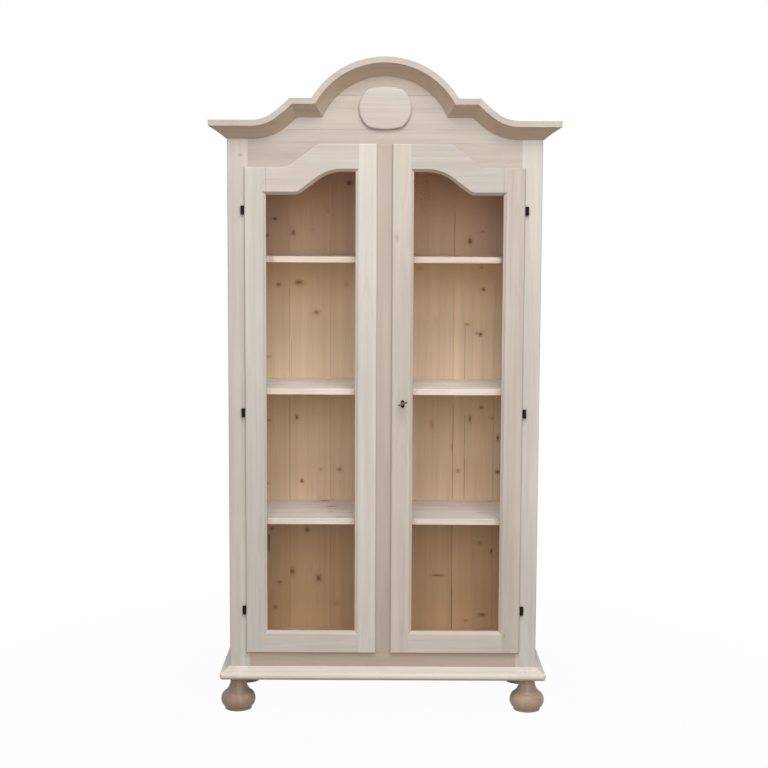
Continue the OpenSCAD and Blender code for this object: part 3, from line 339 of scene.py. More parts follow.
def makeRubbedMetal(shape):
    # smudges, fine scratches and worn arrises of small steel fittings
    tree, takes, gives = newGroup('rubbedMetal', {'Vector': origin, 'Edge': 0.0, 'Wear': 0.5},
                                  {'Worn': 'Float', 'Smudge': 'Float', 'Scratch': 'Float'})
    smudge = cloud(tree, takes['Vector'], *shape['smudge']).outputs[0]
    scratch = cloud(tree, takes['Vector'], *shape['scratch']).outputs[0]
    rubbed = maths(tree, 'MULTIPLY', takes['Edge'], eased(tree, smudge, *shape['rubbedRange']))
    tree.links.new(maths(tree, 'MULTIPLY', rubbed, takes['Wear'], clamp=True), gives['Worn'])
    tree.links.new(smudge, gives['Smudge'])
    tree.links.new(eased(tree, scratch, *shape['scratchRange']), gives['Scratch'])
    return tree


timberGrain = makeTimberGrain(grainShape)
knotSpot = makeKnotSpot(knotShape)
fineLine = makeFineLine(lineShape)
pinKnots = makePinKnots(pinShape)
limeWash = makeLimeWash(washShape)
softEdges = makeSoftEdges(edgeShape)
rubbedMetal = makeRubbedMetal(rubShape)
print('shared effects built')


# Timber: one finish for each kind of wood, laid on each member along its own grain

# colours from 0 to 255, shares of 1 and the ring width in metres; the edge share darkens the arrises as joint
# lines, or below 0 paints a highlight on them; the top share paints light on faces that look up, whitening
# them, and the tone for faces that look down paints shade on them
timberFinishes = {
    'limed': {
        'early': (194, 185, 176), 'late': (172, 160, 148), 'knot': (106, 84, 66), 'halo': (170, 150, 132),
        'lime': (205, 200, 193), 'cover': 0.4, 'cast': 0.9, 'rings': 0.15, 'streaks': 0.11, 'drift': 0.12,
        'fibres': 0.03, 'ringWidth': 0.0042, 'pinShare': 0.0, 'jointsAndHighlight': -0.08, 'rough': 0.62, 'relief': 0.3,
        # painted shade on faces that look down
        'under': (226, 215, 203),
    },
    'limedWarm': {
        'early': (191, 179, 168), 'late': (168, 152, 138), 'knot': (106, 80, 62), 'halo': (168, 142, 122),
        'lime': (199, 190, 181), 'cover': 0.35, 'cast': 0.9, 'rings': 0.11, 'streaks': 0.09, 'drift': 0.14,
        'fibres': 0.03, 'ringWidth': 0.0042, 'pinShare': 0.0, 'jointsAndHighlight': 0.10, 'rough': 0.62, 'relief': 0.35,
        # painted shade on faces that look down, warmer here
        'under': (251, 235, 219),
    },
    'plainPine': {
        'early': (222, 194, 163), 'late': (200, 165, 131), 'knot': (88, 54, 32), 'halo': (186, 138, 98),
        'lime': (236, 214, 188), 'cover': 0.22, 'cast': 0.5, 'rings': 0.18, 'streaks': 0.10, 'drift': 0.2,
        'fibres': 0.03, 'ringWidth': 0.0034, 'pinShare': 0.05, 'jointsAndHighlight': 0.45, 'rough': 0.58, 'relief': 0.3,
        # painted shade on the inside of the back, darker and warmer at the top and beneath the shelves
        'paintShelfShade': True,
    },
    'shelfPine': {
        'early': (236, 221, 207), 'late': (216, 194, 172), 'knot': (128, 86, 58), 'halo': (206, 170, 138),
        'lime': (252, 248, 242), 'cover': 0.2, 'cast': 0.4, 'rings': 0.3, 'streaks': 0.10, 'drift': 0.10,
        'fibres': 0.06, 'ringWidth': 0.0038, 'pinShare': 0.06, 'jointsAndHighlight': 0.05, 'rough': 0.55, 'relief': 0.25,
        # painted light whitens the tops of the shelves, where light from above falls
        'paintedTopLight': 1.0,
    },
    'turnedPine': {
        'early': (198, 172, 150), 'late': (164, 132, 106), 'knot': (96, 66, 46), 'halo': (160, 126, 100),
        'lime': (206, 186, 168), 'cover': 0.25, 'cast': 0.4, 'rings': 0.3, 'streaks': 0.12, 'drift': 0.12,
        'fibres': 0.07, 'ringWidth': 0.005, 'pinShare': 0.0, 'jointsAndHighlight': 0.3, 'rough': 0.44, 'relief': 0.3,
    },
}

# finish, grain axis, lightness, warmth and how far the pith lies from the member's middle, in metres;
# lightness and warmth also hold painted light and shade, member by member: darker and warmer in shade,
# lighter facing up
timberMembers = {
    'side_panel_left': ('limed', 'Z', 0.98, 0.0, 0.10), 'side_panel_right': ('limed', 'Z', 0.98, 0.0, 0.12),
    # painted shade: the left post is a little darker than the right
    'corner_post_left': ('limed', 'Z', 0.93, 0.1, 0.07), 'corner_post_right': ('limed', 'Z', 0.99, 0.0, 0.09),
    # painted shade: the mullion, set back between the doors, and the bottom rail, below the doors' lips, are
    # darker and warmer
    'centre_mullion': ('limedWarm', 'Z', 0.85, 0.4, 0.05),
    'bottom_rail': ('limedWarm', 'X', 0.775, 1.5, 0.06),
    # painted shade: the frieze and crest beneath the cornice, and the cornice's down-facing pieces, are
    # darker and warmer
    'frieze_rail': ('limedWarm', 'X', 0.86, 0.1, 0.08), 'frieze_board': ('limedWarm', 'X', 0.885, 0.1, 0.05),
    'crest_board': ('limedWarm', 'X', 0.8, 1.0, 0.07), 'plaque': ('limed', 'X', 0.9, 0.2, 0.06),
    'cornice_arch': ('limedWarm', 'X', 0.875, 0.1, 0.11),
    'cornice_shoulder_left': ('limedWarm', 'X', 0.875, 0.1, 0.08),
    'cornice_shoulder_right': ('limedWarm', 'X', 0.875, 0.2, 0.09),
    'cornice_ramp_left': ('limedWarm', 'X', 0.875, 0.1, 0.10),
    'cornice_ramp_right': ('limedWarm', 'X', 0.875, 0.1, 0.12),
    'cornice_return_left': ('limedWarm', 'Y', 0.88, 0.5, 0.08),
    'cornice_return_right': ('limedWarm', 'Y', 0.88, 0.5, 0.10),
    # painted light: the front and side base rails, whose moulding looks up, are much lighter
    'base_rail_front': ('limed', 'X', 1.24, 0.2, 0.09), 'base_rail_left': ('limed', 'Y', 1.24, 0.1, 0.08),
    'base_rail_right': ('limed', 'Y', 1.24, 0.2, 0.10), 'base_rail_rear': ('plainPine', 'X', 0.95, 0.0, 0.07),
    'roof_board': ('plainPine', 'X', 0.96, 0.0, 0.06), 'floor_board': ('plainPine', 'X', 0.98, 0.0, 0.07),
    'shelf_lower': ('shelfPine', 'X', 0.8, 0.5, 0.06), 'shelf_middle': ('shelfPine', 'X', 0.86, 0.4, 0.08),
    'shelf_upper': ('shelfPine', 'X', 0.69, 1.6, 0.05),
    # painted shade: the feet, in the shadow of the base, are darker, the front left one most
    'foot_front_left': ('turnedPine', 'Z', 0.54, 0.4, 0.03),
    'foot_front_right': ('turnedPine', 'Z', 0.7, 0.1, 0.035),
    'foot_rear_left': ('turnedPine', 'Z', 0.76, 0.2, 0.025),
    'foot_rear_right': ('turnedPine', 'Z', 0.76, 0.2, 0.03),
    'left_hinge_stile': ('limed', 'Z', 0.97, 0.0, 0.06), 'left_lock_stile': ('limed', 'Z', 1.065, 0.1, 0.08),
    'left_top_rail': ('limed', 'X', 0.91, 0.3, 0.07), 'left_bottom_rail': ('limed', 'X', 0.93, 0.6, 0.06),
    'left_glazing_beads': ('limed', 'Z', 0.98, 0.0, 0.05),
    'right_hinge_stile': ('limed', 'Z', 0.855, 0.9, 0.07),
    'right_lock_stile': ('limed', 'Z', 0.92, 0.8, 0.05),
    'right_top_rail': ('limed', 'X', 0.845, 0.1, 0.08), 'right_bottom_rail': ('limed', 'X', 0.95, 0.7, 0.07),
    'right_glazing_beads': ('limed', 'Z', 0.98, 0.0, 0.05),
}

# lightness of each back board and how far its pith lies from its middle, from left to right
backBoards = [(0.98, 0.07), (1.0, 0.05), (0.97, 0.09), (1.0, 0.06), (0.98, 0.08), (1.02, 0.06), (0.99, 0.07)]
for number, (lightnessAndShade, pithDepth) in enumerate(backBoards, 1):
    timberMembers['back_board_%d' % number] = ('plainPine', 'Z', lightnessAndShade, 0.0, pithDepth)

# knots that show, in millimetres: x, z, half width, half height; and strength
knotPlaces = {
    'back_board_1': [(-383, 1637, 10, 6, 0.85), (-411, 1578, 5, 5, 0.8), (-372, 1407, 6, 5.5, 0.8),
                     (-408, 1153, 6, 4, 0.4), (-408, 927, 6, 5, 0.4), (-411, 700, 6, 4, 0.4),
                     (-398, 537, 6, 5, 0.6), (-370, 342, 7, 5, 0.65), (-386, 251, 6, 6, 0.65)],
    'back_board_2': [(-198, 1665, 6, 5, 0.45), (-319, 1588, 7, 10, 0.7), (-252, 1600, 6, 5, 0.35),
                     (-299, 1415, 12, 6.5, 0.95), (-239, 1310, 8, 7, 0.75), (-308, 938, 5, 7.5, 0.85),
                     (-290, 709, 5, 6, 0.95), (-223, 752, 6, 6, 0.3), (-271, 534, 6.5, 8, 0.75),
                     (-326, 381, 10, 10, 0.75), (-231, 357, 9, 11, 0.75)],
    'back_board_3': [(-124, 1762, 12, 10, 0.9), (-131, 1407, 7, 6, 0.25), (-156, 752, 7, 6, 0.6),
                     (-167, 264, 9, 7, 0.3)],
    'back_board_5': [(124, 1466, 7, 6, 0.3), (243, 833, 2.5, 12, 0.5), (196, 370, 19, 3, 0.75)],
    'back_board_6': [(299, 1562, 7, 11, 1.0), (342, 1594, 9, 3, 0.45), (339, 1470, 6, 5, 0.4),
                     (348, 1393, 6, 5, 0.8), (293, 1270, 6, 4, 0.5), (339, 1235, 6, 6, 0.9),
                     (326, 1239, 4, 3, 0.7), (344, 976, 7, 6, 0.65), (305, 934, 4.5, 11, 0.75),
                     (385, 938, 7, 6, 0.35), (265, 749, 6, 6, 0.5), (345, 489, 8, 7, 0.35),
                     (388, 459, 5, 7, 0.85), (357, 226, 12, 6, 0.65), (299, 205, 8, 5, 0.4)],
    'back_board_7': [(405, 867, 3.5, 9, 0.9), (405, 745, 7, 6, 0.9)],
    'corner_post_left': [(-464, 1834, 4, 3, 0.6)],
    'right_lock_stile': [(39, 1573, 5, 10, 0.3)], 'right_hinge_stile': [(402, 260, 3, 14, 0.3)],
}

# knots on the shelves, in millimetres: x, y, half width, half depth; and strength
shelfKnots = {
    'shelf_lower': [(-210, 200, 16, 14, 0.6), (-179, 89, 13, 7, 0.7), (-180, -3, 10, 6, 0.6),
                    (-146, -96, 12, 7, 0.6), (-108, -21, 7, 6, 0.6), (339, -10, 14, 5, 0.6),
                    (381, 200, 10, 8, 0.5), (113, 205, 6, 5, 0.4)],
    'shelf_upper': [(385, -128, 6, 5, 0.8), (-370, -128, 9, 5, 0.4)],
}

# open joints and shakes, in millimetres: x and z from one end to the other, half width; and strength
finePlaces = {
    'back_board_1': [(-408, 454, -408, 515, 1.3, 1.0)],
    'back_board_2': [(-332.6, 653, -332.6, 1001, 0.9, 0.5), (-326, 1072, -326, 1213, 0.8, 0.3)],
    'back_board_5': [(174, 840, 174, 1001, 0.8, 0.3)],
    'back_board_6': [(245.4, 1505, 245.4, 1675, 0.9, 0.6), (245.4, 653, 245.4, 976, 0.9, 0.5),
                     (245.4, 168, 245.4, 385, 1.4, 0.85), (245.4, 385, 245.4, 552, 0.8, 0.4),
                     (285, 1072, 285, 1273, 0.8, 0.45), (287, 653, 287, 947, 0.9, 0.5)],
    'crest_board': [(-219, 2024.8, 219, 2024.8, 0.8, 0.3)],
    'frieze_rail': [(-440, 1916.2, 440, 1916.2, 0.8, 0.15), (-300, 1874, 300, 1874, 0.8, 0.1)],
    'base_rail_front': [(-453, 111, -453, 152, 0.8, 0.35)],
    'left_top_rail': [(-382.6, 1708, -382.6, 1797, 0.8, 0.3)],
    'right_top_rail': [(382.6, 1708, 382.6, 1797, 0.8, 0.4)],
}

# painted shade on the inside of the back, darker and warmer where the shelves and the roof shade it: the
# heights where each band starts, is full and ends, and the tone itself; one that starts above its full height
# deepens downwards
shelfShadeBands = [
    (-0.01, 0.0, 0.632, (255, 246, 232)), (0.622, 0.34, 0.632, (239, 238, 233)),
    (0.76, 1.056, 1.066, (255, 245, 224)), (1.056, 0.74, 1.066, (253, 247, 244)),
    (1.18, 1.49, 1.50, (255, 236, 208)), (1.49, 1.51, 9.0, (231, 213, 200)),
    (1.51, 1.90, 9.0, (247, 205, 168)),
]

# half depths through the board of its knots and lines, in millimetres
throughBoard = {'knot': 80, 'shelfKnot': 40, 'line': 200}

# a wider rounded rim than the sanded arrises, and how much painted shade darkens it
roundRims = {'plaque': (0.011, 0.22)}

grainTurns = {'X': (0, -90, 0), 'Y': (90, 0, 0), 'Z': (0, 0, 0)}

timberLook = {
    'pithSpread': 0.02, 'cutSpread': 4, 'wander': 0.035, 'pinSpacing': 0.11, 'pinStrength': 0.6,
    'arris': 0.0013, 'redShift': 0.07, 'blueShift': 0.03, 'fleckShade': 0.05,
    'haloStrength': 0.7, 'heartStrength': 0.92, 'upFacing': (0.4, 0.9), 'downFacing': (-0.1, -0.6),
    'insideFacing': -0.5, 'fibreRough': 0.16, 'lateSmooth': 0.08, 'fibreRelief': 0.5, 'lateRelief': 0.6,
    'fleckRelief': 0.5, 'reliefDepth': 0.0005, 'sheen': 0.3,
}


def middleOf(member):
    low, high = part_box(member)
    return (Vector(low) + Vector(high)) / 2


def placeGrain(member, axis, pithDepth):
    # turns the grain to run along the member and sets its pith that far from the member's middle
    chance = random.Random(member)
    turn = [math.radians(angle) for angle in grainTurns[axis]]
    turned = Matrix.Rotation(turn[1], 4, 'Y') @ Matrix.Rotation(turn[0], 4, 'X') @ middleOf(member)
    aside = chance.uniform(-timberLook['pithSpread'], timberLook['pithSpread'])
    cut = chance.uniform(-timberLook['cutSpread'], timberLook['cutSpread']) - turned.z
    if member.startswith('side_panel'):
        return turn, (-pithDepth - turned.x, aside - turned.y, cut)
    return turn, (aside - turned.x, -pithDepth - turned.y, cut)


def placedKnots(member):
    # middle, half sizes and strength of each knot, in millimetres
    middle = middleOf(member) * 1000
    upright = [((x, middle.y, z), (width, throughBoard['knot'], height), strength)
               for x, z, width, height, strength in knotPlaces.get(member, [])]
    level = [((x, y, middle.z), (width, depth, throughBoard['shelfKnot']), strength)
             for x, y, width, depth, strength in shelfKnots.get(member, [])]
    return upright + level


def markKnots(tree, knots, pinShare, spot, along):
    # the placed knots and the strewn ones: hearts, halos and the push on the rings
    heart, halo, push = 0.0, 0.0, 0.0
    for place, reach, strength in knots:
        knot = useGroup(tree, knotSpot, {'Vector': spot, 'Place': Vector(place) / 1000,
                                         'Reach': Vector(reach) / 1000, 'Strength': strength})
        heart = maths(tree, 'MAXIMUM', heart, knot['Heart'])
        halo = maths(tree, 'MAXIMUM', halo, knot['Halo'])
        push = maths(tree, 'ADD', push, knot['Push'])
    if pinShare:
        pins = useGroup(tree, pinKnots, {'Vector': along, 'Spacing': timberLook['pinSpacing'],
                                         'Share': pinShare})
        pinHeart = maths(tree, 'MULTIPLY', pins['Heart'], timberLook['pinStrength'])
        heart = maths(tree, 'MAXIMUM', heart, pinHeart)
        halo = maths(tree, 'MAXIMUM', halo, pins['Halo'])
    return heart, halo, push


def drawLines(tree, member, colour, lineColour, spot):
    # open joints and shakes over the wood's colour
    dark = 0.0
    for fromX, fromZ, toX, toZ, half, strength in finePlaces[member]:
        between = Vector(((fromX + toX) / 2, middleOf(member).y * 1000, (fromZ + toZ) / 2)) / 1000
        reach = Vector((abs(toX - fromX) / 2 + half, throughBoard['line'],
                        abs(toZ - fromZ) / 2 + half)) / 1000
        line = useGroup(tree, fineLine, {'Vector': spot, 'Middle': between, 'Half': reach})
        dark = maths(tree, 'MAXIMUM', dark, maths(tree, 'MULTIPLY', line['Line'], strength))
    return blended(tree, dark, colour, lineColour)


def paintShelfShade(tree, colour, spot, facing):
    # painted shade on the inside of the back, darker and warmer at the top and beneath the shelves
    upright = splitVector(tree, spot)[2]
    inside = maths(tree, 'LESS_THAN', facing[1], timberLook['insideFacing'])
    for start, full, end, tone in shelfShadeBands:
        below = maths(tree, 'MULTIPLY', maths(tree, 'LESS_THAN', upright, end), inside)
        amount = maths(tree, 'MULTIPLY', eased(tree, upright, start, full), below)
        colour = blended(tree, amount, colour, tint(*tone), 'MULTIPLY')
    return colour


def layTimber(member, finish, axis, lightnessAndShade, warmth, pithDepth):
    look = timberFinishes[finish]
    made, tree, spot = newMaterial(member + 'Wood')
    turn, start = placeGrain(member, axis, pithDepth)
    along = addNode(tree, 'Mapping', {'Vector': spot, 'Rotation': turn, 'Location': start}).outputs[0]
    facing = splitVector(tree, tree.nodes.new('ShaderNodeNewGeometry').outputs['Normal'])
    knots = placedKnots(member)
    heart, halo, push = markKnots(tree, knots, look['pinShare'], spot, along)
    grain = useGroup(tree, timberGrain, {'Vector': along, 'Ring Width': look['ringWidth'],
                                         'Wander': timberLook['wander'], 'Push': push})
    # arrises darken as joint lines, or below 0 take a painted highlight; the plaque's wide rim takes painted
    # shade
    rimWidth, rimShadeAndHighlight = roundRims.get(member, (timberLook['arris'], look['jointsAndHighlight']))
    edges = useGroup(tree, softEdges, {'Radius': rimWidth})

    late = maths(tree, 'MULTIPLY', grain['Late Wood'], look['rings'])
    wood = blended(tree, late, tint(*look['early']), tint(*look['late']))
    cover = look['cover']
    # painted light: faces that look up take more of the pale wash
    if look.get('paintedTopLight'):
        cover = eased(tree, facing[2], *timberLook['upFacing'], look['cover'], look['paintedTopLight'])
    washed = useGroup(tree, limeWash, {'Vector': along, 'Wood': wood, 'Lime': tint(*look['lime']),
                                       'Cover': cover, 'Late Wood': grain['Late Wood'],
                                       'Cast': look['cast']})['Colour']

    # slow drift, streaks, fibres and flecks change the lightness, and so do the edges: joint lines, painted
    # highlights and the plaque's painted shade
    level = lightnessAndShade - look['drift'] - look['streaks'] / 2 - look['fibres']
    for mask, amount in ((grain['Drift'], look['drift'] * 2), (grain['Streak'], look['streaks']),
                         (grain['Fibre'], look['fibres'] * 2), (edges['Edge'], -rimShadeAndHighlight),
                         (grain['Fleck'], -timberLook['fleckShade'])):
        level = maths(tree, 'MULTIPLY_ADD', mask, amount, level)
    warm = (1 + timberLook['redShift'] * warmth, 1.0, 1 - timberLook['blueShift'] * warmth)
    colour = blended(tree, 1.0, washed, scaled(tree, warm, level), 'MULTIPLY')
    # painted shade on the inside of the back
    if look.get('paintShelfShade'):
        colour = paintShelfShade(tree, colour, spot, facing)
    if look.get('under'):
        # painted shade: faces that look down are darker and warmer
        down = eased(tree, facing[2], *timberLook['downFacing'])
        colour = blended(tree, down, colour, tint(*look['under']), 'MULTIPLY')
    if member in finePlaces:
        colour = drawLines(tree, member, colour, tint(*look['knot']), spot)
    if knots or look['pinShare']:
        reddened = maths(tree, 'MULTIPLY', halo, timberLook['haloStrength'])
        colour = blended(tree, reddened, colour, tint(*look['halo']))
        darkened = maths(tree, 'MULTIPLY', heart, timberLook['heartStrength'])
        colour = blended(tree, darkened, colour, tint(*look['knot']))

    roughness = maths(tree, 'MULTIPLY_ADD', grain['Fibre'], timberLook['fibreRough'],
                      look['rough'] - timberLook['fibreRough'] / 2)
    roughness = maths(tree, 'MULTIPLY_ADD', grain['Late Wood'], -timberLook['lateSmooth'], roughness)
    relief = maths(tree, 'MULTIPLY', grain['Late Wood'], timberLook['lateRelief'])
    relief = maths(tree, 'MULTIPLY_ADD', grain['Fibre'], timberLook['fibreRelief'], relief)
    relief = maths(tree, 'MULTIPLY_ADD', grain['Fleck'], -timberLook['fleckRelief'], relief)
    bump = addNode(tree, 'Bump', {'Strength': look['relief'], 'Distance': timberLook['reliefDepth'],
                                  'Height': relief, 'Normal': edges['Normal']})
    showShader(tree, addNode(tree, 'BsdfPrincipled', {
        'Base Color': colour, 'Roughness': roughness, 'Specular IOR Level': timberLook['sheen'],
        'Normal': bump.outputs[0]}))
    dress(member, made)


for member, (finish, axis, lightnessAndShade, warmth, pithDepth) in timberMembers.items():
    layTimber(member, finish, axis, lightnessAndShade, warmth, pithDepth)
print('timber laid on', len(timberMembers), 'members')


# Metal fittings and glass

metalFinishes = {
    'plainSteel': {'base': (172, 170, 166), 'smudged': (138, 135, 130), 'worn': (205, 204, 200),
                   'metallic': 1.0, 'rough': 0.34, 'wear': 0.6, 'sheen': 0.5},
    'agedSteel': {'base': (116, 106, 98), 'smudged': (84, 74, 66), 'worn': (178, 172, 164),
                  'metallic': 0.9, 'rough': 0.4, 'wear': 0.5, 'sheen': 0.5},
    'blackenedSteel': {'base': (15, 11, 9), 'smudged': (26, 19, 15), 'worn': (58, 48, 40),
                       'metallic': 0.0, 'rough': 0.6, 'wear': 0.35, 'sheen': 0.16},
}
metalMembers = {
    'plainSteel': ('shelf_pins', 'left_bolt_guides', 'left_upper_bolt', 'left_lower_bolt', 'lock_case',
                   'lock_bolt'),
    'agedSteel': ('key',),
    'blackenedSteel': ('hinge_pins', 'left_hinge_sockets', 'right_hinge_sockets', 'escutcheon'),
}
metalLook = {'arris': 0.0004, 'smudgeRange': (0.35, 0.7), 'smudgeRough': 0.3, 'smudgeEase': 0.12,
             'scratchRough': 0.1, 'scratchBump': 0.2, 'scratchDepth': 0.0001}
paneLook = {'tone': (252, 254, 253), 'bending': 1.1, 'smears': ((14, 14, 5), 4, 0.6),
            'smearRange': (0.5, 0.8), 'smearRough': 0.012}


def makeMetal(name, look):
    made, tree, spot = newMaterial(name)
    edges = useGroup(tree, softEdges, {'Radius': metalLook['arris']})
    rubbed = useGroup(tree, rubbedMetal, {'Vector': spot, 'Edge': edges['Edge'], 'Wear': look['wear']})
    smudge = eased(tree, rubbed['Smudge'], *metalLook['smudgeRange'])
    colour = blended(tree, smudge, tint(*look['base']), tint(*look['smudged']))
    colour = blended(tree, rubbed['Worn'], colour, tint(*look['worn']))
    roughness = maths(tree, 'MULTIPLY_ADD', rubbed['Smudge'], metalLook['smudgeRough'],
                      look['rough'] - metalLook['smudgeEase'])
    roughness = maths(tree, 'MULTIPLY_ADD', rubbed['Scratch'], metalLook['scratchRough'], roughness)
    bump = addNode(tree, 'Bump', {'Strength': metalLook['scratchBump'], 'Distance': metalLook['scratchDepth'],
                                  'Height': rubbed['Scratch'], 'Normal': edges['Normal']})
    showShader(tree, addNode(tree, 'BsdfPrincipled', {
        'Base Color': colour, 'Roughness': roughness, 'Metallic': look['metallic'],
        'Specular IOR Level': look['sheen'], 'Normal': bump.outputs[0]}))
    return made


def makePane(look):
    # clear float glass with faint smears; lamps and bounced light pass straight through it
    made, tree, spot = newMaterial('clearPane')
    smears = cloud(tree, spot, *look['smears']).outputs[0]
    smears = eased(tree, smears, *look['smearRange'], 0.0, look['smearRough'])
    glass = addNode(tree, 'BsdfPrincipled', {'Base Color': tint(*look['tone']), 'Roughness': smears,
                                             'Metallic': 0.0, 'Transmission Weight': 1.0,
                                             'IOR': look['bending']})
    rays = tree.nodes.new('ShaderNodeLightPath').outputs
    through = maths(tree, 'MAXIMUM', rays['Is Shadow Ray'], rays['Is Diffuse Ray'])
    clear = tree.nodes.new('ShaderNodeBsdfTransparent').outputs[0]
    showShader(tree, addNode(tree, 'MixShader', {0: through, 1: glass.outputs[0], 2: clear}))
    return made


metals = {name: makeMetal(name, look) for name, look in metalFinishes.items()}
for name, members in metalMembers.items():
    for member in members:
        dress(member, metals[name])
clearPane = makePane(paneLook)
for member in ('left_glass', 'right_glass'):
    dress(member, clearPane)
print('metal and glass dressed')


# Small fastenings that the solids leave out

headShape = {'easeSteps': 2, 'upward': 0.9, 'flat': 0.99, 'dishRim': 0.35, 'dishDepth': 0.06,
             'smoothAngle': 35}
screwLook = {'radius': 0.0022, 'height': 0.0014, 'ease': 0.0005, 'slotWidth': 0.0006, 'slotDepth': 0.0007,
             'sides': 20, 'proud': 0.0008}
bradLook = {'radius': 0.0009, 'height': 0.0008, 'ease': 0.0003, 'sides': 10, 'proud': 0.0003}
nailLook = {'radius': 0.0026, 'height': 0.0009, 'ease': 0.0004, 'sides': 14, 'proud': 0.0003}


def pickFacesUp(piece, least):
    mesh = bmesh.from_edit_mesh(piece.data)
    for face in mesh.faces:
        face.select_set(face.normal.z > least)
    mesh.select_flush_mode()
    bmesh.update_edit_mesh(piece.data)


def turnedHead(name, look):
    # a flat head with an eased rim and a shallow dish, facing +Z, its top at Z = 0
    clearSelection()
    bpy.ops.mesh.primitive_cylinder_add(vertices=look['sides'], radius=look['radius'], depth=look['height'],
                                        location=(0, 0, -look['height'] / 2))
    head = bpy.context.object
    head.name = name
    bpy.ops.object.transform_apply(location=True, rotation=True, scale=True)
    bpy.ops.object.mode_set(mode='EDIT')
    pickFacesUp(head, headShape['upward'])
    bpy.ops.mesh.bevel(offset=look['ease'], segments=headShape['easeSteps'], affect='EDGES')
    pickFacesUp(head, headShape['flat'])
    bpy.ops.mesh.inset(thickness=look['radius'] * headShape['dishRim'],
                       depth=-look['height'] * headShape['dishDepth'])
    bpy.ops.object.mode_set(mode='OBJECT')
    return head


def cutSlot(head, look):
    # a slot right across the head, as deep below its top as it says
    clearSelection()
    bpy.ops.mesh.primitive_cube_add(size=1, location=(0, 0, 0))
    cutter = bpy.context.object
    cutter.scale = (look['radius'] * 3, look['slotWidth'], look['slotDepth'] * 2)
    bpy.ops.object.transform_apply(location=True, rotation=True, scale=True)
    clearSelection()
    bpy.context.view_layer.objects.active = head
    head.select_set(True)
    bpy.ops.object.modifier_add(type='BOOLEAN')
    head.modifiers[-1].object = cutter
    bpy.ops.object.modifier_apply(modifier=head.modifiers[-1].name)
    bpy.data.objects.remove(cutter)


def setHeads(pattern, name, places, body):
    # copies of one head at these places, all facing +Y, joined as one set
    clearSelection()
    for index, (x, y, z, turn) in enumerate(places):
        copy = pattern.copy()
        copy.data = pattern.data.copy()
        copy.name = '%s_%d' % (name, index)
        bpy.context.collection.objects.link(copy)
        copy.data.transform(Matrix.Translation((x, y, z)) @ Matrix.Rotation(math.radians(-90), 4, 'X')
                            @ Matrix.Rotation(math.radians(turn), 4, 'Z'))
        copy.select_set(True)
        bpy.context.view_layer.objects.active = copy
    bpy.ops.object.join()
    joined = bpy.context.object
    joined.name = name
    joined.data.name = name
    joined.data.materials.clear()
    joined.data.materials.append(metals['plainSteel'])
    bpy.ops.object.shade_smooth_by_angle(angle=math.radians(headShape['smoothAngle']))
    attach(joined, body)


screwHead = turnedHead('screwPattern', screwLook)
cutSlot(screwHead, screwLook)
bradHead = turnedHead('bradPattern', bradLook)
nailHead = turnedHead('nailPattern', nailLook)
chance = random.Random(7)

# one screw in each corner of the lock's case
lockScrewInset = 0.0055
low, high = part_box('lock_case')
lockScrews = [(x, high[1] + screwLook['proud'], z, chance.uniform(0, 180))
              for x in (low[0] + lockScrewInset, high[0] - lockScrewInset)
              for z in (low[2] + lockScrewInset, high[2] - lockScrewInset)]
setHeads(screwHead, 'lock_screws', lockScrews, 'right_door')

# two screws at each end of both slide bolts' plates
plateScrews = {'aside': 0.0062, 'plate': 0.0015, 'outer': 0.0145, 'inner': 0.0515}
low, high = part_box('left_bolt_guides')
rows = (low[2] + plateScrews['outer'], low[2] + plateScrews['inner'],
        high[2] - plateScrews['inner'], high[2] - plateScrews['outer'])
boltScrews = [((low[0] + high[0]) / 2 + aside, low[1] + plateScrews['plate'] + screwLook['proud'], z,
               chance.uniform(0, 180))
              for aside in (-plateScrews['aside'], plateScrews['aside']) for z in rows]
setHeads(screwHead, 'bolt_plate_screws', boltScrews, 'left_door')

# brads up both upright beads, along the bottom bead and at the two ends of the shaped top bead
bradPlaces = {'inset': 0.00335, 'rises': (0.047, 0.277, 0.507, 0.737, 0.967, 1.197, 1.407),
              'bottom': (0.1, 0.5, 0.9), 'top': ((0.15, 0.0), (0.88, 0.074))}
for side in ('left', 'right'):
    low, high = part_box(side + '_glazing_beads')
    inner, outer = sorted((low[0] + bradPlaces['inset'], high[0] - bradPlaces['inset']), key=abs)
    foot, top = low[2] + bradPlaces['inset'], high[2] - bradPlaces['inset']
    pins = [(x, foot + rise) for x in (inner, outer) for rise in bradPlaces['rises']]
    pins += [(inner + (outer - inner) * share, foot) for share in bradPlaces['bottom']]
    pins += [(inner + (outer - inner) * share, top - drop) for share, drop in bradPlaces['top']]
    places = [(x, high[1] + bradLook['proud'], z, 0) for x, z in pins]
    setHeads(bradHead, side + '_door_bead_brads', places, side + '_door')

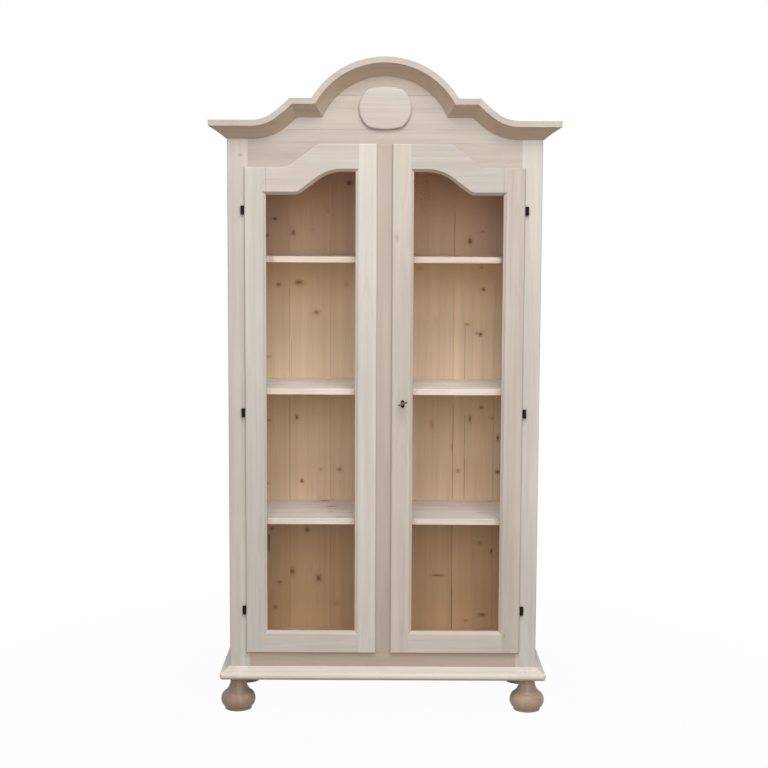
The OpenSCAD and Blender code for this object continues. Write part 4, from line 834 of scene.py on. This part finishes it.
# two nails at each end of every back board, not quite in line
nailPlaces = {'shares': (0.22, 0.78), 'tongue': 0.005, 'fromEnd': 0.01, 'strayAside': 0.003, 'strayUp': 0.002}
backNails = []
for index in range(len(backBoards)):
    low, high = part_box('back_board_%d' % (index + 1))
    for share in nailPlaces['shares']:
        for z in (low[2] + nailPlaces['fromEnd'], high[2] - nailPlaces['fromEnd']):
            x = low[0] + (high[0] - nailPlaces['tongue'] - low[0]) * share
            x += chance.uniform(-nailPlaces['strayAside'], nailPlaces['strayAside'])
            z += chance.uniform(-nailPlaces['strayUp'], nailPlaces['strayUp'])
            backNails.append((x, high[1] + nailLook['proud'], z, 0))
setHeads(nailHead, 'back_nails', backNails, 'cabinet')
for pattern in (screwHead, bradHead, nailHead):
    bpy.data.objects.remove(pattern)
print('screws, brads and nails set')


# White surroundings and a pale floor that keeps the shadow

surroundingsLook = {
    'skyLevel': 0.41, 'floorSize': 16, 'floorMiddle': (0, 2, 0), 'floorTone': (176, 173, 168),
    'glow': 0.97, 'glowNear': 0.6, 'glowFar': 1.9,
}


def seenDirectly(tree):
    rays = tree.nodes.new('ShaderNodeLightPath').outputs
    return maths(tree, 'MAXIMUM', rays['Is Camera Ray'],
                 maths(tree, 'MAXIMUM', rays['Is Glossy Ray'], rays['Is Transmission Ray']))


def makeWorld(look):
    world = bpy.data.worlds.new('whiteStudio')
    bpy.context.scene.world = world
    world.use_nodes = True
    tree = world.node_tree
    tree.nodes.clear()
    level = maths(tree, 'MULTIPLY_ADD', seenDirectly(tree), 1 - look['skyLevel'], look['skyLevel'])
    showShader(tree, addNode(tree, 'Background', {'Color': white, 'Strength': level}), 'OutputWorld')


def makeFloor(look):
    clearSelection()
    bpy.ops.mesh.primitive_plane_add(size=look['floorSize'], location=look['floorMiddle'])
    floor = bpy.context.object
    floor.name = 'studio_floor'
    bpy.ops.object.transform_apply(location=True, rotation=True, scale=True)
    made, tree, spot = newMaterial('paleFloor')
    matt = addNode(tree, 'BsdfDiffuse', {'Color': tint(*look['floorTone'])})
    plain = addNode(tree, 'Emission', {'Color': white, 'Strength': 1.0})
    # away from the feet the floor is plain white to the camera, so no horizon shows
    away = vectors(tree, 'LENGTH', spot)
    glowing = eased(tree, away, look['glowNear'], look['glowFar'], look['glow'], 1.0)
    share = maths(tree, 'MULTIPLY', seenDirectly(tree), glowing)
    showShader(tree, addNode(tree, 'MixShader', {0: share, 1: matt.outputs[0], 2: plain.outputs[0]}))
    floor.data.materials.append(made)


makeWorld(surroundingsLook)
makeFloor(surroundingsLook)
print('floor and surroundings ready')
